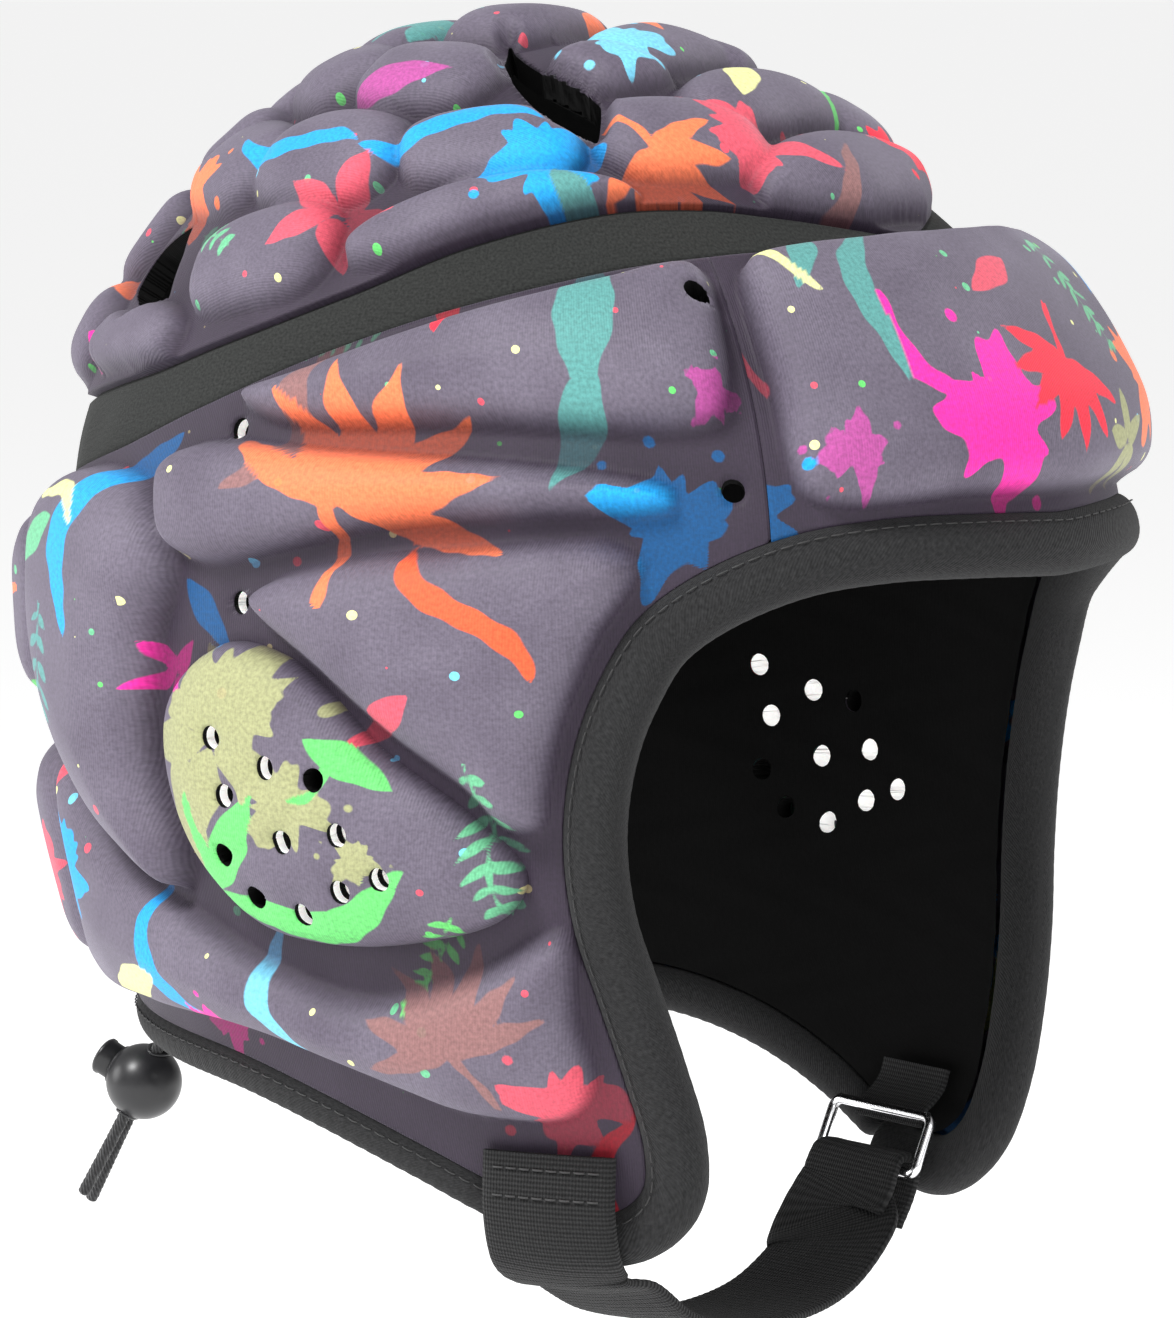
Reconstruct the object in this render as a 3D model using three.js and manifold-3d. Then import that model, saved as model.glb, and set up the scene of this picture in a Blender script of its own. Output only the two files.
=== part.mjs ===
// Rugby scrum cap: a soft padded head guard, printed cloth over foam, with black
// stretch band, bindings, chin strap and a cord lock at the nape.
// Millimetres, +Z up, the face opening toward -Y, the wearer's right at -X.
// The origin is the inside of the crown, where the cap rests on a head.

import * as THREE from "three";
import Module from "manifold-3d";

const wasm = await Module();
wasm.setup();

// Overall form: the groove floor of the padded shell
const SHELL_HALF_WIDTH = 77;
const SHELL_FRONT = 107;
const SHELL_BACK = 108;
const DOME_HEIGHT = 94;
const DOME_LEAN = 14;
const DOME_SLOPE = 4;
const LOWER_HEIGHT = 140;

// Thicknesses
const WEB_THICK = 3;
const LINING_THICK = 1.8;
const CLEARANCE = 0.3;
const SIDE_PAD_HEIGHT = 8;
const CROWN_PAD_HEIGHT = 8.5;
const EAR_PAD_HEIGHT = 8;
const BAND_THICK = 1.8;

// Trims
const BINDING_WIDTH = 10.8;
const BINDING_THICK = 8.6;
const HEM_WIDTH = 8;
const HEM_THICK = 7;
const VENT_HOLE_DIAMETER = 3.8;
const EAR_OPENING_MARGIN = 7;
const STRAP_WIDTH = 25;
const STRAP_THICK = 2;
const STRAP_DROP = 18;
const RING_WIDTH = 32;
const RING_HEIGHT = 13;
const RING_WIRE = 2;
const TAB_WIDTH = 20;
const TAB_THICK = 1.2;
const CORD_DIAMETER = 2.4;
const CORD_FREE_LENGTH = 50;
const LOCK_DIAMETER = 14.5;
const LOCK_FROM_HEM = 24;
const BUTTON_DIAMETER = 7.4;
const BUTTON_PROUD = 2.8;
const BUTTON_STROKE = 2;
const RUNNING_GAP = 0.25;

// Where the panels meet, in degrees round from the front
const FRONT_SEAM = 40.5;
const REAR_SEAM = 142;

// The lower shell, as shares of its height, half width, front and back reach
const LOWER_ROWS = [
  { drop: 0.0, width: 1.0, front: 1.0, back: 1.0 },
  { drop: 0.15, width: 1.01, front: 1.0, back: 0.985 },
  { drop: 0.3, width: 1.0, front: 0.985, back: 0.95 },
  { drop: 0.45, width: 0.965, front: 0.955, back: 0.9 },
  { drop: 0.6, width: 0.9, front: 0.915, back: 0.845 },
  { drop: 0.75, width: 0.805, front: 0.865, back: 0.785 },
  { drop: 0.9, width: 0.69, front: 0.8, back: 0.74 },
  { drop: 1.0, width: 0.61, front: 0.75, back: 0.715 },
];

// A smooth value between the rows of a table
function smooth(rows, key, value, at) {
  let i = 0;
  while (i < rows.length - 2 && at > rows[i + 1][key]) {
    i += 1;
  }
  const slope = (j) => {
    if (j === 0) {
      return 0;
    }
    const k = Math.min(j + 1, rows.length - 1);
    return (rows[k][value] - rows[j - 1][value]) / (rows[k][key] - rows[j - 1][key]);
  };
  const span = rows[i + 1][key] - rows[i][key];
  const t = (at - rows[i][key]) / span;
  const t2 = t * t;
  const t3 = t2 * t;
  return (
    (2 * t3 - 3 * t2 + 1) * rows[i][value] +
    (t3 - 2 * t2 + t) * span * slope(i) +
    (3 * t2 - 2 * t3) * rows[i + 1][value] +
    (t3 - t2) * span * slope(i + 1)
  );
}

// A point of the groove floor. "around" is in degrees from the front, positive to
// the wearer's right; "level" runs 0 at the crown, 1 at the widest line, 2 at the bottom
function floorPoint(around, level) {
  const a = THREE.MathUtils.degToRad(around);
  const turn = (Math.min(level, 1) * Math.PI) / 2;
  const s = Math.sin(turn);
  const c = Math.cos(turn);
  const drop = Math.max(level - 1, 0);
  const shareWidth = level < 1 ? s : smooth(LOWER_ROWS, "drop", "width", drop);
  const shareFront = level < 1 ? s : smooth(LOWER_ROWS, "drop", "front", drop);
  const shareBack = level < 1 ? s : smooth(LOWER_ROWS, "drop", "back", drop);
  const reach = Math.cos(a) > 0 ? SHELL_FRONT * shareFront : SHELL_BACK * shareBack;
  const x = -SHELL_HALF_WIDTH * shareWidth * Math.sin(a);
  const y = -DOME_LEAN * s - reach * Math.cos(a);
  const slope = DOME_SLOPE * Math.sin(Math.PI * Math.min(level, 1)) ** 2;
  const z = DOME_HEIGHT * (c - 1) - slope - drop * LOWER_HEIGHT;
  return new THREE.Vector3(x, y, z + WEB_THICK + CLEARANCE + LINING_THICK);
}

function floorNormal(around, level) {
  if (level < 0.01) {
    return new THREE.Vector3(0, 0, 1);
  }
  const along = floorPoint(around + 0.1, level).sub(floorPoint(around - 0.1, level));
  const down = floorPoint(around, level + 0.002).sub(floorPoint(around, level - 0.002));
  return down.cross(along).normalize().negate();
}

// A point at a height over the groove floor; the lining lies below it
function skin(around, level, height) {
  return floorPoint(around, level).addScaledVector(floorNormal(around, level), height);
}

// Millimetres per degree and per unit of level at a point
function scaleAt(around, level) {
  const l = Math.max(level, 0.05);
  const across = floorPoint(around + 0.5, l).distanceTo(floorPoint(around - 0.5, l));
  const down = floorPoint(around, l + 0.005).distanceTo(floorPoint(around, l - 0.005)) / 0.01;
  return { around: across, level: down };
}

// The panels' lower edge on the wearer's right, from the forehead round the flap to the nape
const RIM_ROWS = [
  { around: 0, level: 0.905 },
  { around: 14, level: 0.9 },
  { around: 27, level: 0.902 },
  { around: 38, level: 0.92 },
  { around: 48, level: 0.965 },
  { around: 54.5, level: 1.02 },
  { around: 58.5, level: 1.1 },
  { around: 61, level: 1.19 },
  { around: 62, level: 1.3 },
  { around: 61, level: 1.41 },
  { around: 58.5, level: 1.51 },
  { around: 56, level: 1.61 },
  { around: 54.3, level: 1.7 },
  { around: 55, level: 1.755 },
  { around: 59, level: 1.785 },
  { around: 66, level: 1.78 },
  { around: 73, level: 1.755 },
  { around: 82, level: 1.71 },
  { around: 93, level: 1.662 },
  { around: 108, level: 1.62 },
  { around: 130, level: 1.602 },
  { around: 155, level: 1.59 },
  { around: 180, level: 1.58 },
];
const AROUND_MM = 1.25;
const LEVEL_MM = 140;

function chartCurve(rows, closed) {
  const points = rows.map((r) => new THREE.Vector3(r[0] * AROUND_MM, r[1] * LEVEL_MM, 0));
  return new THREE.CatmullRomCurve3(points, closed, "centripetal");
}

function chartAt(curve, share) {
  const p = curve.getPointAt(THREE.MathUtils.clamp(share, 0, 1));
  return [p.x / AROUND_MM, p.y / LEVEL_MM];
}

const rim = chartCurve(RIM_ROWS.map((r) => [r.around, r.level]), false);

// The share of the rim's length at which it passes a given point
function rimShare(around, level) {
  let best = 0;
  let least = Infinity;
  for (let i = 0; i <= 800; i += 1) {
    const [a, l] = chartAt(rim, i / 800);
    const d = Math.hypot((a - around) * AROUND_MM, (l - level) * LEVEL_MM);
    if (d < least) {
      least = d;
      best = i / 800;
    }
  }
  return best;
}

const SHARE_FRONT_SEAM = rimShare(FRONT_SEAM, 0.93);
const SHARE_TIP = rimShare(59, 1.785);
const SHARE_REAR_SEAM = rimShare(REAR_SEAM, 1.595);

// The stretch band's upper and lower edge
const BAND_ROWS = [
  { around: 0, top: 0.508, low: 0.532 },
  { around: 11, top: 0.478, low: 0.53 },
  { around: 24, top: 0.456, low: 0.533 },
  { around: 38, top: 0.45, low: 0.54 },
  { around: 55, top: 0.466, low: 0.565 },
  { around: 75, top: 0.525, low: 0.625 },
  { around: 91, top: 0.607, low: 0.695 },
  { around: 108, top: 0.688, low: 0.785 },
  { around: 124, top: 0.752, low: 0.858 },
  { around: 150, top: 0.805, low: 0.92 },
  { around: 180, top: 0.822, low: 0.94 },
];

function bandEdge(edge, around) {
  return smooth(BAND_ROWS, "around", edge, Math.abs(around));
}

// Columns shared by every layer, so that the layers lie parallel
const FRONT_COLUMNS = 6;
const SIDE_COLUMNS = 7;
const BACK_COLUMNS = 6;
const SEAM_ROWS = 3;
const EDGE_ROWS = 7;
const SIDE_ROWS = SEAM_ROWS + EDGE_ROWS;
const BACK_ROWS = SIDE_ROWS / 2;
const FRONT_ROWS = SEAM_ROWS;
const CROWN_ROWS = 5;

function spread(from, to, count) {
  return Array.from({ length: count + 1 }, (_, i) => from + ((to - from) * i) / count);
}

const COLUMNS = [
  ...spread(-FRONT_SEAM, FRONT_SEAM, FRONT_COLUMNS).slice(0, -1),
  ...spread(FRONT_SEAM, REAR_SEAM, SIDE_COLUMNS).slice(0, -1),
  ...spread(REAR_SEAM, 360 - REAR_SEAM, BACK_COLUMNS).slice(0, -1),
  ...spread(360 - REAR_SEAM, 360 - FRONT_SEAM, SIDE_COLUMNS).slice(0, -1),
];

// A flat chart of points and triangles; equal points become one
class Chart {
  constructor() {
    this.points = [];
    this.triangles = [];
    this.known = new Map();
  }

  point(around, level) {
    const turned = level < 1e-6 ? 0 : (((around % 360) + 360.0001) % 360) - 0.0001;
    const key = `${turned.toFixed(3)} ${level.toFixed(4)}`;
    if (!this.known.has(key)) {
      this.known.set(key, this.points.length);
      this.points.push([turned, level]);
    }
    return this.known.get(key);
  }

  triangle(i, j, k) {
    if (i !== j && j !== k && k !== i) {
      this.triangles.push([i, j, k]);
    }
  }

  grid(columns, rows, at, handed = 1) {
    const ids = [];
    for (let r = 0; r <= rows; r += 1) {
      ids.push([]);
      for (let c = 0; c <= columns; c += 1) {
        const [a, l] = at(c / columns, r / rows);
        ids[r].push(this.point(a, l));
      }
    }
    for (let r = 0; r < rows; r += 1) {
      for (let c = 0; c < columns; c += 1) {
        const [p, q, t, w] = [ids[r][c], ids[r + 1][c], ids[r + 1][c + 1], ids[r][c + 1]];
        if (handed > 0) {
          this.triangle(p, q, t);
          this.triangle(p, t, w);
        } else {
          this.triangle(p, q, w);
          this.triangle(q, t, w);
        }
      }
    }
    return this;
  }
}

// A patch between four curves
function patch(left, right, top, low) {
  return (u, v) => {
    const [l, r, t, b] = [left(v), right(v), top(u), low(u)];
    const [p00, p10, p01, p11] = [top(0), top(1), low(0), low(1)];
    return [0, 1].map(
      (k) =>
        (1 - u) * l[k] + u * r[k] + (1 - v) * t[k] + v * b[k] -
        ((1 - u) * (1 - v) * p00[k] + u * (1 - v) * p10[k] + (1 - u) * v * p01[k] + u * v * p11[k])
    );
  };
}

function geometryOf(positions, faces) {
  const g = new THREE.BufferGeometry();
  g.setAttribute("position", new THREE.Float32BufferAttribute(positions.flatMap((p) => [p.x, p.y, p.z]), 3));
  g.setIndex(faces.flat());
  return g;
}

// A chart given thickness between two heights
function thicken(chart, high, low) {
  const count = chart.points.length;
  const positions = [high, low].flatMap((h) => chart.points.map(([a, l]) => skin(a, l, h)));
  const faces = [];
  const used = new Set();
  for (const [i, j, k] of chart.triangles) {
    faces.push([i, j, k]);
    faces.push([i + count, k + count, j + count]);
    used.add(`${i} ${j}`).add(`${j} ${k}`).add(`${k} ${i}`);
  }
  for (const [i, j, k] of chart.triangles) {
    for (const [p, q] of [[i, j], [j, k], [k, i]]) {
      if (!used.has(`${q} ${p}`)) {
        faces.push([p, p + count, q + count]);
        faces.push([p, q + count, q]);
      }
    }
  }
  return geometryOf(positions, faces);
}

// Solids for joining and cutting
function toSolid(geometry) {
  const flat = geometry.index ? geometry.toNonIndexed() : geometry;
  const source = flat.getAttribute("position");
  const ids = new Map();
  const vertices = [];
  const triangles = [];
  for (let i = 0; i < source.count; i += 1) {
    const p = [source.getX(i), source.getY(i), source.getZ(i)];
    const key = p.map((v) => v.toFixed(4)).join(" ");
    if (!ids.has(key)) {
      ids.set(key, vertices.length / 3);
      vertices.push(...p);
    }
    triangles.push(ids.get(key));
  }
  const kept = [];
  for (let i = 0; i < triangles.length; i += 3) {
    const [a, b, c] = triangles.slice(i, i + 3);
    if (a !== b && b !== c && c !== a) {
      kept.push(a, b, c);
    }
  }
  const mesh = new wasm.Mesh({
    numProp: 3,
    vertProperties: new Float32Array(vertices),
    triVerts: new Uint32Array(kept),
  });
  const solid = new wasm.Manifold(mesh);
  return solid.volume() < 0 ? flipped(vertices, kept) : solid;
}

function flipped(vertices, triangles) {
  const turned = [];
  for (let i = 0; i < triangles.length; i += 3) {
    turned.push(triangles[i], triangles[i + 2], triangles[i + 1]);
  }
  return new wasm.Manifold(
    new wasm.Mesh({
      numProp: 3,
      vertProperties: new Float32Array(vertices),
      triVerts: new Uint32Array(turned),
    })
  );
}

function toGeometry(solid) {
  const mesh = solid.getMesh();
  const g = new THREE.BufferGeometry();
  g.setAttribute("position", new THREE.BufferAttribute(Float32Array.from(mesh.vertProperties), 3));
  g.setIndex(Array.from(mesh.triVerts));
  return g;
}

function mirrored(geometry) {
  const g = geometry.clone().applyMatrix4(new THREE.Matrix4().makeScale(-1, 1, 1));
  const flat = g.index ? g.index.array : Array.from({ length: g.getAttribute("position").count }, (_, i) => i);
  const turned = [];
  for (let i = 0; i < flat.length; i += 3) {
    turned.push(flat[i], flat[i + 2], flat[i + 1]);
  }
  g.setIndex(turned);
  return g;
}

function joined(solids) {
  return solids.slice(1).reduce((sum, s) => sum.add(s), solids[0]);
}

function cut(solid, cutters) {
  return cutters.reduce((left, c) => left.subtract(c), solid);
}

// A closed outline in the chart, evenly sampled
function outlineOf(rows, count) {
  const curve = chartCurve(rows, true);
  return Array.from({ length: count }, (_, i) => chartAt(curve, i / count));
}

// A rounded cell about a centre, sized in millimetres, true near the crown too
function cellOutline({ around, level, wide, deep, turn }, count) {
  const a0 = THREE.MathUtils.degToRad(around);
  const scale = scaleAt(around, level);
  const centre = [level * Math.sin(a0), level * Math.cos(a0)];
  const perLevel = 1 / scale.level;
  const perAcross = (Math.max(level, 0.05) * Math.PI) / 180 / scale.around;
  const spin = THREE.MathUtils.degToRad(turn);
  return Array.from({ length: count }, (_, i) => {
    const t = (2 * Math.PI * (i + 0.5)) / count;
    const bend = (v) => Math.sign(v) * Math.abs(v) ** 0.62;
    const x = (bend(Math.cos(t)) * wide) / 2;
    const y = (bend(Math.sin(t)) * deep) / 2;
    const across = (x * Math.cos(spin) - y * Math.sin(spin)) * perAcross;
    const down = (x * Math.sin(spin) + y * Math.cos(spin)) * perLevel;
    const px = centre[0] + across * Math.cos(a0) + down * Math.sin(a0);
    const py = centre[1] - across * Math.sin(a0) + down * Math.cos(a0);
    const bearing = THREE.MathUtils.radToDeg(Math.atan2(px, py));
    return [bearing, Math.min(Math.hypot(px, py), bandEdge("top", bearing) - 0.016)];
  });
}

// An outline laid flat in millimetres, and the way back to around, level
function laidFlat(outline) {
  const n = outline.length;
  if (outline.some((p) => p[1] < 0.17)) {
    const unit = scaleAt(90, 0.2).level;
    return {
      flat: outline.map(([a, l]) => {
        const t = THREE.MathUtils.degToRad(a);
        return new THREE.Vector2(l * Math.sin(t) * unit, l * Math.cos(t) * unit);
      }),
      back: (p) => [THREE.MathUtils.radToDeg(Math.atan2(p.x, p.y)), Math.hypot(p.x, p.y) / unit],
    };
  }
  const a0 = outline[0][0];
  const open = outline.map(([a, l]) => [a - 360 * Math.round((a - a0) / 360), l]);
  const mid = scaleAt(
    open.reduce((s, p) => s + p[0], 0) / n,
    open.reduce((s, p) => s + p[1], 0) / n
  );
  return {
    flat: open.map(([a, l]) => new THREE.Vector2(a * mid.around, l * mid.level)),
    back: (p) => [p.x / mid.around, p.y / mid.level],
  };
}

// Moves each point of a flat outline inward, never past the middle of a narrow place
function inset(flat, distance) {
  const n = flat.length;
  const area = THREE.ShapeUtils.area(flat);
  return flat.map((p, i) => {
    const before = flat[(i + n - 1) % n];
    const after = flat[(i + 1) % n];
    const along = after.clone().sub(before).normalize();
    const inward = new THREE.Vector2(-along.y, along.x).multiplyScalar(Math.sign(area));
    let room = Infinity;
    for (let j = 0; j < n; j += 1) {
      const q = flat[j];
      const r = flat[(j + 1) % n];
      if (j === i || (j + 1) % n === i) {
        continue;
      }
      const edge = r.clone().sub(q);
      const cross = inward.x * edge.y - inward.y * edge.x;
      if (Math.abs(cross) < 1e-9) {
        continue;
      }
      const to = q.clone().sub(p);
      const t = (to.x * edge.y - to.y * edge.x) / cross;
      const s = (to.x * inward.y - to.y * inward.x) / cross;
      if (t > 0 && s >= 0 && s <= 1) {
        room = Math.min(room, t);
      }
    }
    return p.clone().addScaledVector(inward, Math.min(distance, room * 0.36));
  });
}

// Draws a flat outline in toward its middle, along its own long and short way
function drawnIn(flat, distance) {
  const n = flat.length;
  const centre = flat.reduce((s, p) => s.add(p), new THREE.Vector2()).divideScalar(n);
  const [xx, yy, xy] = flat.reduce(
    ([a, b, c], p) => [a + (p.x - centre.x) ** 2, b + (p.y - centre.y) ** 2, c + (p.x - centre.x) * (p.y - centre.y)],
    [0, 0, 0]
  );
  const turn = 0.5 * Math.atan2(2 * xy, xx - yy);
  const long = new THREE.Vector2(Math.cos(turn), Math.sin(turn));
  const short = new THREE.Vector2(-long.y, long.x);
  const reach = (way) => Math.max(...flat.map((p) => Math.abs(p.clone().sub(centre).dot(way))));
  const shareLong = Math.max(1 - distance / reach(long), 0.3);
  const shareShort = Math.max(1 - distance / reach(short), 0.3);
  return flat.map((p) => {
    const d = p.clone().sub(centre);
    return centre
      .clone()
      .addScaledVector(long, d.dot(long) * shareLong)
      .addScaledVector(short, d.dot(short) * shareShort);
  });
}

// A cushion over an outline: it stands up from "base", rounds over and closes on top
function cushion(outline, { base, height, round, across, steps = 2, draw = drawnIn }) {
  const { flat, back } = laidFlat(outline);
  const shoulder = steps > 1 ? [{ line: draw(flat, round * 0.35), high: height * 0.83 }] : [];
  const layers = [
    { line: flat, high: base },
    { line: flat, high: height * (steps > 1 ? 0.42 : 0.52) },
    ...shoulder,
    { line: draw(flat, round), high: height },
  ];
  const positions = [];
  const faces = [];
  const n = flat.length;
  const add = (line, high) => {
    const first = positions.length;
    line.forEach((p) => positions.push(skin(...back(p), high)));
    return first;
  };
  const link = (lower, upper, turned) => {
    for (let i = 0; i < n; i += 1) {
      const j = (i + 1) % n;
      const quad = [[lower + i, lower + j, upper + j], [lower + i, upper + j, upper + i]];
      quad.forEach(([p, q, r]) => faces.push(turned ? [p, r, q] : [p, q, r]));
    }
  };
  const starts = layers.map((layer) => add(layer.line, layer.high));
  for (let i = 0; i + 1 < starts.length; i += 1) {
    link(starts[i], starts[i + 1], false);
  }
  // Rungs from side to side close the top and the foot
  const at = (i) => ((i % n) + n) % n;
  const misfit = (k) => flat.reduce((sum, _, i) => sum + flat[at(k + i)].distanceTo(flat[at(k - i)]), 0);
  const end = flat.map((_, k) => k).reduce((k, other) => (misfit(other) < misfit(k) ? other : k), 0);
  const close = (line, start, high, turned) => {
    const face = (p, q, r) => faces.push(turned ? [p, r, q] : [p, q, r]);
    let last = null;
    for (let i = 1; i < n / 2; i += 1) {
      const [from, to] = [line[at(end + i)], line[at(end - i)]];
      const between = Array.from({ length: across - 1 }, (_, k) => from.clone().lerp(to, (k + 1) / across));
      const first = add(between, high);
      const rung = [start + at(end + i), ...between.map((_, k) => first + k), start + at(end - i)];
      for (let k = 0; k < across; k += 1) {
        if (last) {
          face(last[k], rung[k], last[k + 1]);
          face(rung[k], rung[k + 1], last[k + 1]);
        } else {
          face(start + end, rung[k], rung[k + 1]);
        }
      }
      last = rung;
    }
    for (let k = 0; k < across; k += 1) {
      face(last[k], start + at(end + n / 2), last[k + 1]);
    }
  };
  close(layers.at(-1).line, starts.at(-1), height, false);
  close(flat, starts[0], base, true);
  return toSolid(geometryOf(positions, faces));
}

// A prism through all layers over an outline
function piercer(outline, high, low) {
  const n = outline.length;
  const positions = [high, low].flatMap((h) => outline.map(([a, l]) => skin(a, l, h)));
  const faces = [];
  for (let i = 0; i < n; i += 1) {
    const j = (i + 1) % n;
    faces.push([i, i + n, j + n], [i, j + n, j]);
  }
  for (let i = 1; i + 1 < n; i += 1) {
    faces.push([0, i, i + 1], [n, n + i + 1, n + i]);
  }
  return toSolid(geometryOf(positions, faces));
}

// A section carried along stations; each station has a place and two directions
function sweep(stations, section, closed) {
  const n = section.length;
  const positions = stations.flatMap((s) =>
    (s.line ?? section).map(([e, h]) => s.place.clone().addScaledVector(s.across, e).addScaledVector(s.up, h))
  );
  const faces = [];
  const last = closed ? stations.length : stations.length - 1;
  for (let i = 0; i < last; i += 1) {
    const k = ((i + 1) % stations.length) * n;
    for (let p = 0; p < n; p += 1) {
      const q = (p + 1) % n;
      faces.push([i * n + p, i * n + q, k + q], [i * n + p, k + q, k + p]);
    }
  }
  if (!closed) {
    const end = (stations.length - 1) * n;
    for (let p = 1; p + 1 < n; p += 1) {
      faces.push([0, p + 1, p], [end, end + p, end + p + 1]);
    }
  }
  return toSolid(geometryOf(positions, faces));
}

// Stations on the rim: "across" leaves the cloth, "up" is the outer side
function rimStation(share) {
  const [a, l] = chartAt(rim, Math.abs(share));
  const place = skin(a, l, 0);
  const ahead = chartAt(rim, Math.min(Math.abs(share) + 0.004, 1));
  const behind = chartAt(rim, Math.max(Math.abs(share) - 0.004, 0));
  const along = skin(ahead[0], ahead[1], 0).sub(skin(behind[0], behind[1], 0));
  if (Math.abs(share) < 0.004) {
    along.set(-1, 0, 0);
  }
  const up = floorNormal(a, l);
  const across = up.clone().cross(along).normalize();
  if (share < 0) {
    [place, up, across].forEach((v) => v.setX(-v.x));
  }
  return { place, across, up };
}

function tapeSection(width, thick, below) {
  const h0 = below;
  const h1 = below + thick;
  const e0 = CLEARANCE;
  const e1 = width;
  return [
    [e0, h0 + thick * 0.08],
    [e0 + width * 0.3, h0],
    [e0 + width * 0.72, h0 + thick * 0.08],
    [e1 - width * 0.06, h0 + thick * 0.3],
    [e1, h0 + thick * 0.52],
    [e1 - width * 0.06, h1 - thick * 0.26],
    [e0 + width * 0.72, h1 - thick * 0.06],
    [e0 + width * 0.3, h1],
    [e0, h1 - thick * 0.08],
  ];
}

// Pads of the wearer's right side, as outlines of around, level
const TEMPLE_PAD = [
  [100.5, 0.768], [96, 0.792], [72, 0.785], [49, 0.784], [44.8, 0.765],
  [42.6, 0.66], [43.4, 0.568], [56, 0.588], [75, 0.648], [91, 0.72],
];
const TAPER_PAD = [
  [110, 0.86], [110.5, 0.91], [108.5, 0.965], [102, 0.98], [93, 0.955], [84, 0.926],
  [66, 0.899], [52, 0.887], [50.5, 0.876], [52, 0.864], [66, 0.843], [88, 0.835], [104, 0.834],
];
const CHEEK_PAD = [
  [96.5, 1.02], [84.5, 0.968], [72, 0.95], [58, 0.935], [55, 0.958], [58.8, 1.045],
  [62, 1.145], [63.6, 1.235], [64.2, 1.28], [67, 1.285], [72, 1.235], [79, 1.18], [87.5, 1.105],
];
const REAR_PAD = [
  [114, 0.9], [109, 0.985], [111.5, 1.09], [112.5, 1.24], [109, 1.355], [110, 1.4],
  [119, 1.36], [129, 1.28], [137, 1.17], [139.5, 1.02], [137, 0.93], [126, 0.885],
];
const LOWER_ROLL = [
  [63.8, 1.38], [72.5, 1.47], [84.5, 1.522], [97, 1.492], [110, 1.435], [121, 1.395],
  [131, 1.315], [139, 1.27], [139.7, 1.42], [138, 1.55], [121, 1.565], [104, 1.565],
  [92, 1.567], [81, 1.6], [73, 1.645], [62.5, 1.65], [59.5, 1.61], [61, 1.52],
];
const EAR_PAD = [
  [100, 1.08], [93, 1.09], [88, 1.125], [81.5, 1.205], [73, 1.28], [69.5, 1.345], [71.5, 1.39],
  [79, 1.44], [88, 1.452], [97, 1.435], [105, 1.36], [109, 1.245], [107.5, 1.145],
];
const FOREHEAD_PAD = [
  [-37.5, 0.6], [-36, 0.575], [-18, 0.556], [0, 0.552], [18, 0.556], [36, 0.575], [37.5, 0.6],
  [37.8, 0.75], [36.5, 0.868], [33, 0.882], [16, 0.874], [0, 0.876], [-16, 0.874], [-33, 0.882],
  [-36.5, 0.868], [-37.8, 0.75],
];
const NAPE_PADS = [
  [[145, 0.965], [162, 0.965], [180, 0.967], [198, 0.965], [215, 0.965], [216, 1.07],
    [214, 1.19], [198, 1.215], [180, 1.22], [162, 1.215], [146, 1.19], [144, 1.07]],
  [[145, 1.27], [162, 1.26], [180, 1.262], [198, 1.26], [215, 1.27], [216, 1.4],
    [214, 1.53], [198, 1.55], [180, 1.55], [162, 1.55], [146, 1.53], [144, 1.4]],
];

// Cells of the crown: place, size in millimetres and turn; "pair" ones are on both sides
const CROWN_CELLS = [
  { around: 0, level: 0.418, wide: 42, deep: 20, turn: 0, pair: false },
  { around: 0, level: 0.288, wide: 34, deep: 19.5, turn: 0, pair: false },
  { around: 0, level: 0.156, wide: 29, deep: 19.5, turn: 0, pair: false },
  { around: 180, level: 0.015, wide: 29, deep: 20, turn: 0, pair: false },
  { around: 180, level: 0.172, wide: 31, deep: 21, turn: 0, pair: false },
  { around: 180, level: 0.32, wide: 33, deep: 21.5, turn: 0, pair: false },
  { around: 180, level: 0.466, wide: 35, deep: 21.5, turn: 0, pair: false },
  { around: 180, level: 0.61, wide: 36, deep: 21.5, turn: 0, pair: false },
  { around: 180, level: 0.737, wide: 36, deep: 17, turn: 0, pair: false },
  { around: 35, level: 0.352, wide: 29, deep: 22, turn: 0, pair: true },
  { around: 38, level: 0.205, wide: 17, deep: 15, turn: 20, pair: true },
  { around: 73, level: 0.37, wide: 34, deep: 17, turn: 8, pair: true },
  { around: 98, level: 0.228, wide: 30, deep: 18, turn: 0, pair: true },
  { around: 106, level: 0.4, wide: 33, deep: 21, turn: 4, pair: true },
  { around: 72, level: 0.476, wide: 56, deep: 10.5, turn: 15, pair: true },
  { around: 107, level: 0.567, wide: 33, deep: 19, turn: 15, pair: true },
  { around: 132, level: 0.43, wide: 28, deep: 21, turn: 0, pair: true },
  { around: 140, level: 0.25, wide: 25, deep: 20, turn: 0, pair: true },
  { around: 156, level: 0.41, wide: 17, deep: 20, turn: 0, pair: true },
  { around: 160, level: 0.575, wide: 15, deep: 22, turn: 0, pair: true },
  { around: 128, level: 0.7, wide: 33, deep: 10, turn: 8, pair: true },
  { around: 154, level: 0.716, wide: 26, deep: 18, turn: 3, pair: true },
];
const FRONT_VENT = [[78, 0.1], [47, 0.27], [52, 0.36], [58, 0.335], [63.5, 0.29], [69, 0.24], [75, 0.18]];
const REAR_VENT = [[136, 0.525], [150, 0.585], [143, 0.64], [130, 0.67], [125, 0.64], [130, 0.57]];
const SIDE_HOLES = [[99.5, 1.03], [101.5, 0.81], [44.5, 0.62], [44.2, 0.865]];
const EAR_HOLES = [
  [99, 1.195], [92, 1.225], [97.5, 1.265], [86.5, 1.235], [90.5, 1.315], [98.5, 1.34],
  [84, 1.3], [79.5, 1.35], [84, 1.37], [95, 1.39], [89, 1.405],
];

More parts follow.
